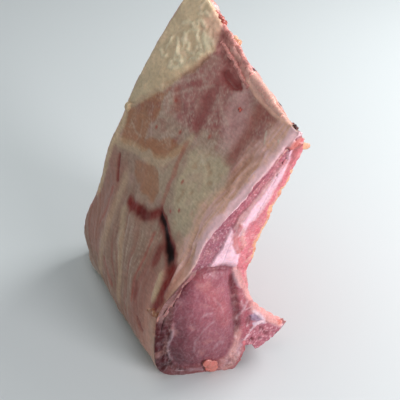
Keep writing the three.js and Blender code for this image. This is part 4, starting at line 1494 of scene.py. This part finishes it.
class RACK_OT_trimmings(bpy.types.Operator):
    """Add the ragged meat, the web beside the backbone, and the crumbs, nubs and skins of fat"""

    bl_idname = "rack.trimmings"
    bl_label = "Trimmings"

    def execute(self, context):
        self.add_meat(flesh_material("lamb_scrap_meat", SCRAP_MEAT_FINISH))
        self.add_fat(flesh_material("lamb_scrap_fat", SCRAP_FAT_FINISH))
        return {"FINISHED"}

    def add_meat(self, material):
        ragged = lumps_along(behind_loin(RIB_TRIM), 76, 1.1, seed=401, jitter=0.15, long=3, uneven=0.6)
        self.add("lamb_rib_trim", ragged, 12, ("rib_red", "pale", "rust"), material, "muscle")
        raw = lumps_along(RAW_OUTER, 22, 1.9, seed=402, jitter=0.2, long=3, uneven=0.6)
        raw += lumps_along(RAW_INNER, 16, 1.3, seed=404, jitter=0.2, long=3, uneven=0.6)
        self.add("lamb_raw_edge", raw, 22, ("raw", "mauve", "wine"), material, "muscle", 0.25)
        roll = lumps_along(ROLL_RUN, 18, 2.8, seed=405, long=2.2, uneven=0)
        roll += lumps_along(ROLL_END, 14, 2, seed=405, long=2.2, uneven=0)
        self.add("lamb_roll", roll, 16, ("roll", "pale", "raw"), material, "muscle", 0.08)
        tag = lumps_along(RED_TAG, 8, 1.2, seed=407, jitter=0.3)
        self.add("lamb_red_tag", tag, 3, ("vein", "raw", "wine"), material, "muscle")
        heads = list(self.rib_heads())
        self.add("lamb_rib_heads", heads, 16, ("bone", "membrane", "pink"), material, "bone")
        self.add("lamb_rib_chips", RIB_CHIPS, 3, ("sawn", "sawn", "rust"), material, "bone", 0.1)
        web = lump_piece("lamb_backbone_web", WEB, WEB_VOXEL, WEB_SOFTENING)
        finish_piece(web, paint_web(web), material)

    def rib_heads(self):
        """Lumps that join the foot of each rib to the backbone."""
        for node in RIBS:
            points = node_points(node)
            foot = points[points[:, 2] < points[:, 2].min() + 2].mean(axis=0)
            for lump in (FIRST_HEAD,) if node == RIBS[0] else RIB_HEAD:
                yield Lump(tuple(foot + lump.place), lump.half)

    def add_fat(self, material):
        crumbs = lumps_along(behind_loin(CRUMB_RUN), 84, 0.8, seed=403, jitter=0.2, long=2.8, uneven=0.8)
        self.add("lamb_fat_crumbs", crumbs, 4, ("crumb", "salmon", "crumb"), material, "seam_fat")
        nub = [Lump(tuple(on_loin(x, z)), (wide, 1.6, high), (0, 20, 0)) for x, z, wide, high in NUB]
        self.add("lamb_fat_nub", nub, 3, ("nub", "salmon", "rust"), material, "fat", 0.5)
        self.add("lamb_tip_tag", TIP_TAG, 5, ("crumb", "pale", "crumb"), material, "seam_fat", 0.1)
        nub = lumps_along(EDGE_NUB, 8, 1.1, seed=408, jitter=0.2)
        self.add("lamb_edge_nub", nub, 3, ("crumb", "pale", "crumb"), material, "fat")
        speck = [Lump(tuple(on_skin(*SPECK)), (0.5, 1.4, 0.7), (-10, 0, 0))]
        self.add("lamb_speck", speck, 3, ("salmon", "vein", "vein"), material, "fat", 0.1)
        nub = [Lump(tuple(on_skin(*PAD_NUB) + PAD_NUB_DEPTH), (2, 2.6, 3.6), (20, 0, 0))]
        self.add("lamb_pad_nub", nub, 8, ("cream", "yellow", "cream"), material, "fat")
        # The skin between the fat and the eye muscle, in the dull colour: painted shade on grey pink fat
        run = [on_loin(*spot) + EYE_SKIN_DEPTH for spot in EYE_SKIN]
        skin = lumps_along(run, 40, 0.9, seed=412, long=3, uneven=0)
        self.add("lamb_eye_skin", skin, 10, ("dull", "eye", "dull"), material, "seam_fat", 0.1)
        run = [on_skin(*spot) for spot in NICK]
        nick = lumps_along(run, 9, 1.0, seed=410, jitter=0.1, long=2.6, uneven=0.5)
        self.add("lamb_nick", nick, 10, ("tan", "rim", "brown"), material, "fat", 0.2)

    def add(self, name, lumps, rounds, colors, material, slot, relief=0.3):
        piece = lump_piece(name, lumps, SCRAP_VOXEL, rounds)
        paint = paint_scraps(piece, *colors, SCRAP_SEED + len(lumps), relief)
        finish_piece(piece, paint, material)


# The stage

CAMERA_PLACE = Vector((-148.72, -423.74, 431.89)) * MM
CAMERA_LOOK = Vector((0.2952, 0.7306, -0.6157))
CAMERA_LENS = 84.68
CAMERA_SENSOR = 36
FLOOR_HALF = 4.0
FLOOR_ROUGH = 0.55
SKY_COLOR = (0.93, 0.98, 1.0, 1)


class Lamp(NamedTuple):
    """A soft round light: its place, what it is aimed at, its width and its colour."""

    place: tuple
    target: tuple
    size: float
    color: tuple = (1, 1, 1)


LAMPS = {
    "key": Lamp((560, 140, 460), (0, -20, 60), 420),
    "fill": Lamp((475, -1090, 480), (10, -50, 80), 600, (1, 0.96, 0.99)),
    "top": Lamp((-120, 60, 900), (0, 0, 60), 600),
}


class RACK_OT_stage(bpy.types.Operator):
    """Lay the pale floor, hang the soft lights and place the camera"""

    bl_idname = "rack.stage"
    bl_label = "Floor, lights and camera"

    def execute(self, context):
        looks = context.scene.rack_stage
        self.lay_floor(looks)
        for name, lamp in LAMPS.items():
            self.hang_light(f"{name}_light", lamp, getattr(looks, name))
        self.light_sky(context, looks)
        self.place_camera(context)
        context.scene.view_settings.view_transform = "Standard"
        return {"FINISHED"}

    def lay_floor(self, looks):
        bm = bmesh.new()
        bmesh.ops.create_grid(bm, x_segments=1, y_segments=1, size=FLOOR_HALF)
        floor = new_piece("floor", bm)
        material = bpy.data.materials.new("pale_floor")
        material.use_nodes = True
        shader = material.node_tree.nodes["Principled BSDF"]
        shader.inputs["Base Color"].default_value = (*looks.floor, 1)
        shader.inputs["Roughness"].default_value = FLOOR_ROUGH
        floor.data.materials.append(material)

    def hang_light(self, name, lamp, watts):
        light = bpy.data.lights.new(name, "AREA")
        light.shape = "DISK"
        light.size = lamp.size * MM
        light.energy = watts
        light.color = lamp.color
        holder = bpy.data.objects.new(name, light)
        holder.location = Vector(lamp.place) * MM
        aim = Vector(lamp.target) * MM - holder.location
        holder.rotation_euler = aim.to_track_quat("-Z", "Y").to_euler()
        bpy.context.scene.collection.objects.link(holder)

    def light_sky(self, context, looks):
        world = bpy.data.worlds.new("studio")
        world.use_nodes = True
        sky = world.node_tree.nodes["Background"]
        sky.inputs["Color"].default_value = SKY_COLOR
        sky.inputs["Strength"].default_value = looks.sky
        context.scene.world = world

    def place_camera(self, context):
        lens = bpy.data.cameras.new("camera")
        lens.lens = CAMERA_LENS
        lens.sensor_width = CAMERA_SENSOR
        camera = bpy.data.objects.new("camera", lens)
        camera.location = CAMERA_PLACE
        camera.rotation_euler = CAMERA_LOOK.to_track_quat("-Z", "Y").to_euler()
        context.scene.collection.objects.link(camera)
        context.scene.camera = camera


OPERATORS = (RACK_OT_fat, RACK_OT_muscles, RACK_OT_seam, RACK_OT_rib_meat, RACK_OT_bones,
             RACK_OT_trimmings, RACK_OT_stage)
LOOKS = {
    "rack_fat": RackFatLooks,
    "rack_meat": RackMeatLooks,
    "rack_seam": RackSeamLooks,
    "rack_bone": RackBoneLooks,
    "rack_stage": RackStageLooks,
}


class RACK_PT_panel(bpy.types.Panel):
    """Lists the steps that make the rack"""

    bl_idname = "RACK_PT_panel"
    bl_label = "Rack of lamb"
    bl_space_type = "VIEW_3D"
    bl_region_type = "UI"
    bl_category = "Rack of lamb"

    def draw(self, context):
        for operator in OPERATORS:
            self.layout.operator(operator.bl_idname)
        for name, group in LOOKS.items():
            column = self.layout.column(heading=group.__doc__)
            for key in group.__annotations__:
                column.prop(getattr(context.scene, name), key)


def register():
    for group in (*LOOKS.values(), *OPERATORS, RACK_PT_panel):
        bpy.utils.register_class(group)
    for name, group in LOOKS.items():
        setattr(bpy.types.Scene, name, PointerProperty(type=group))


def unregister():
    for name in LOOKS:
        delattr(bpy.types.Scene, name)
    for group in reversed((*LOOKS.values(), *OPERATORS, RACK_PT_panel)):
        bpy.utils.unregister_class(group)


def main():
    register()
    bpy.ops.rack.fat()
    bpy.ops.rack.muscles()
    bpy.ops.rack.seam()
    bpy.ops.rack.rib_meat()
    bpy.ops.rack.bones()
    bpy.ops.rack.trimmings()
    bpy.ops.rack.stage()


if __name__ == "__main__":
    main()
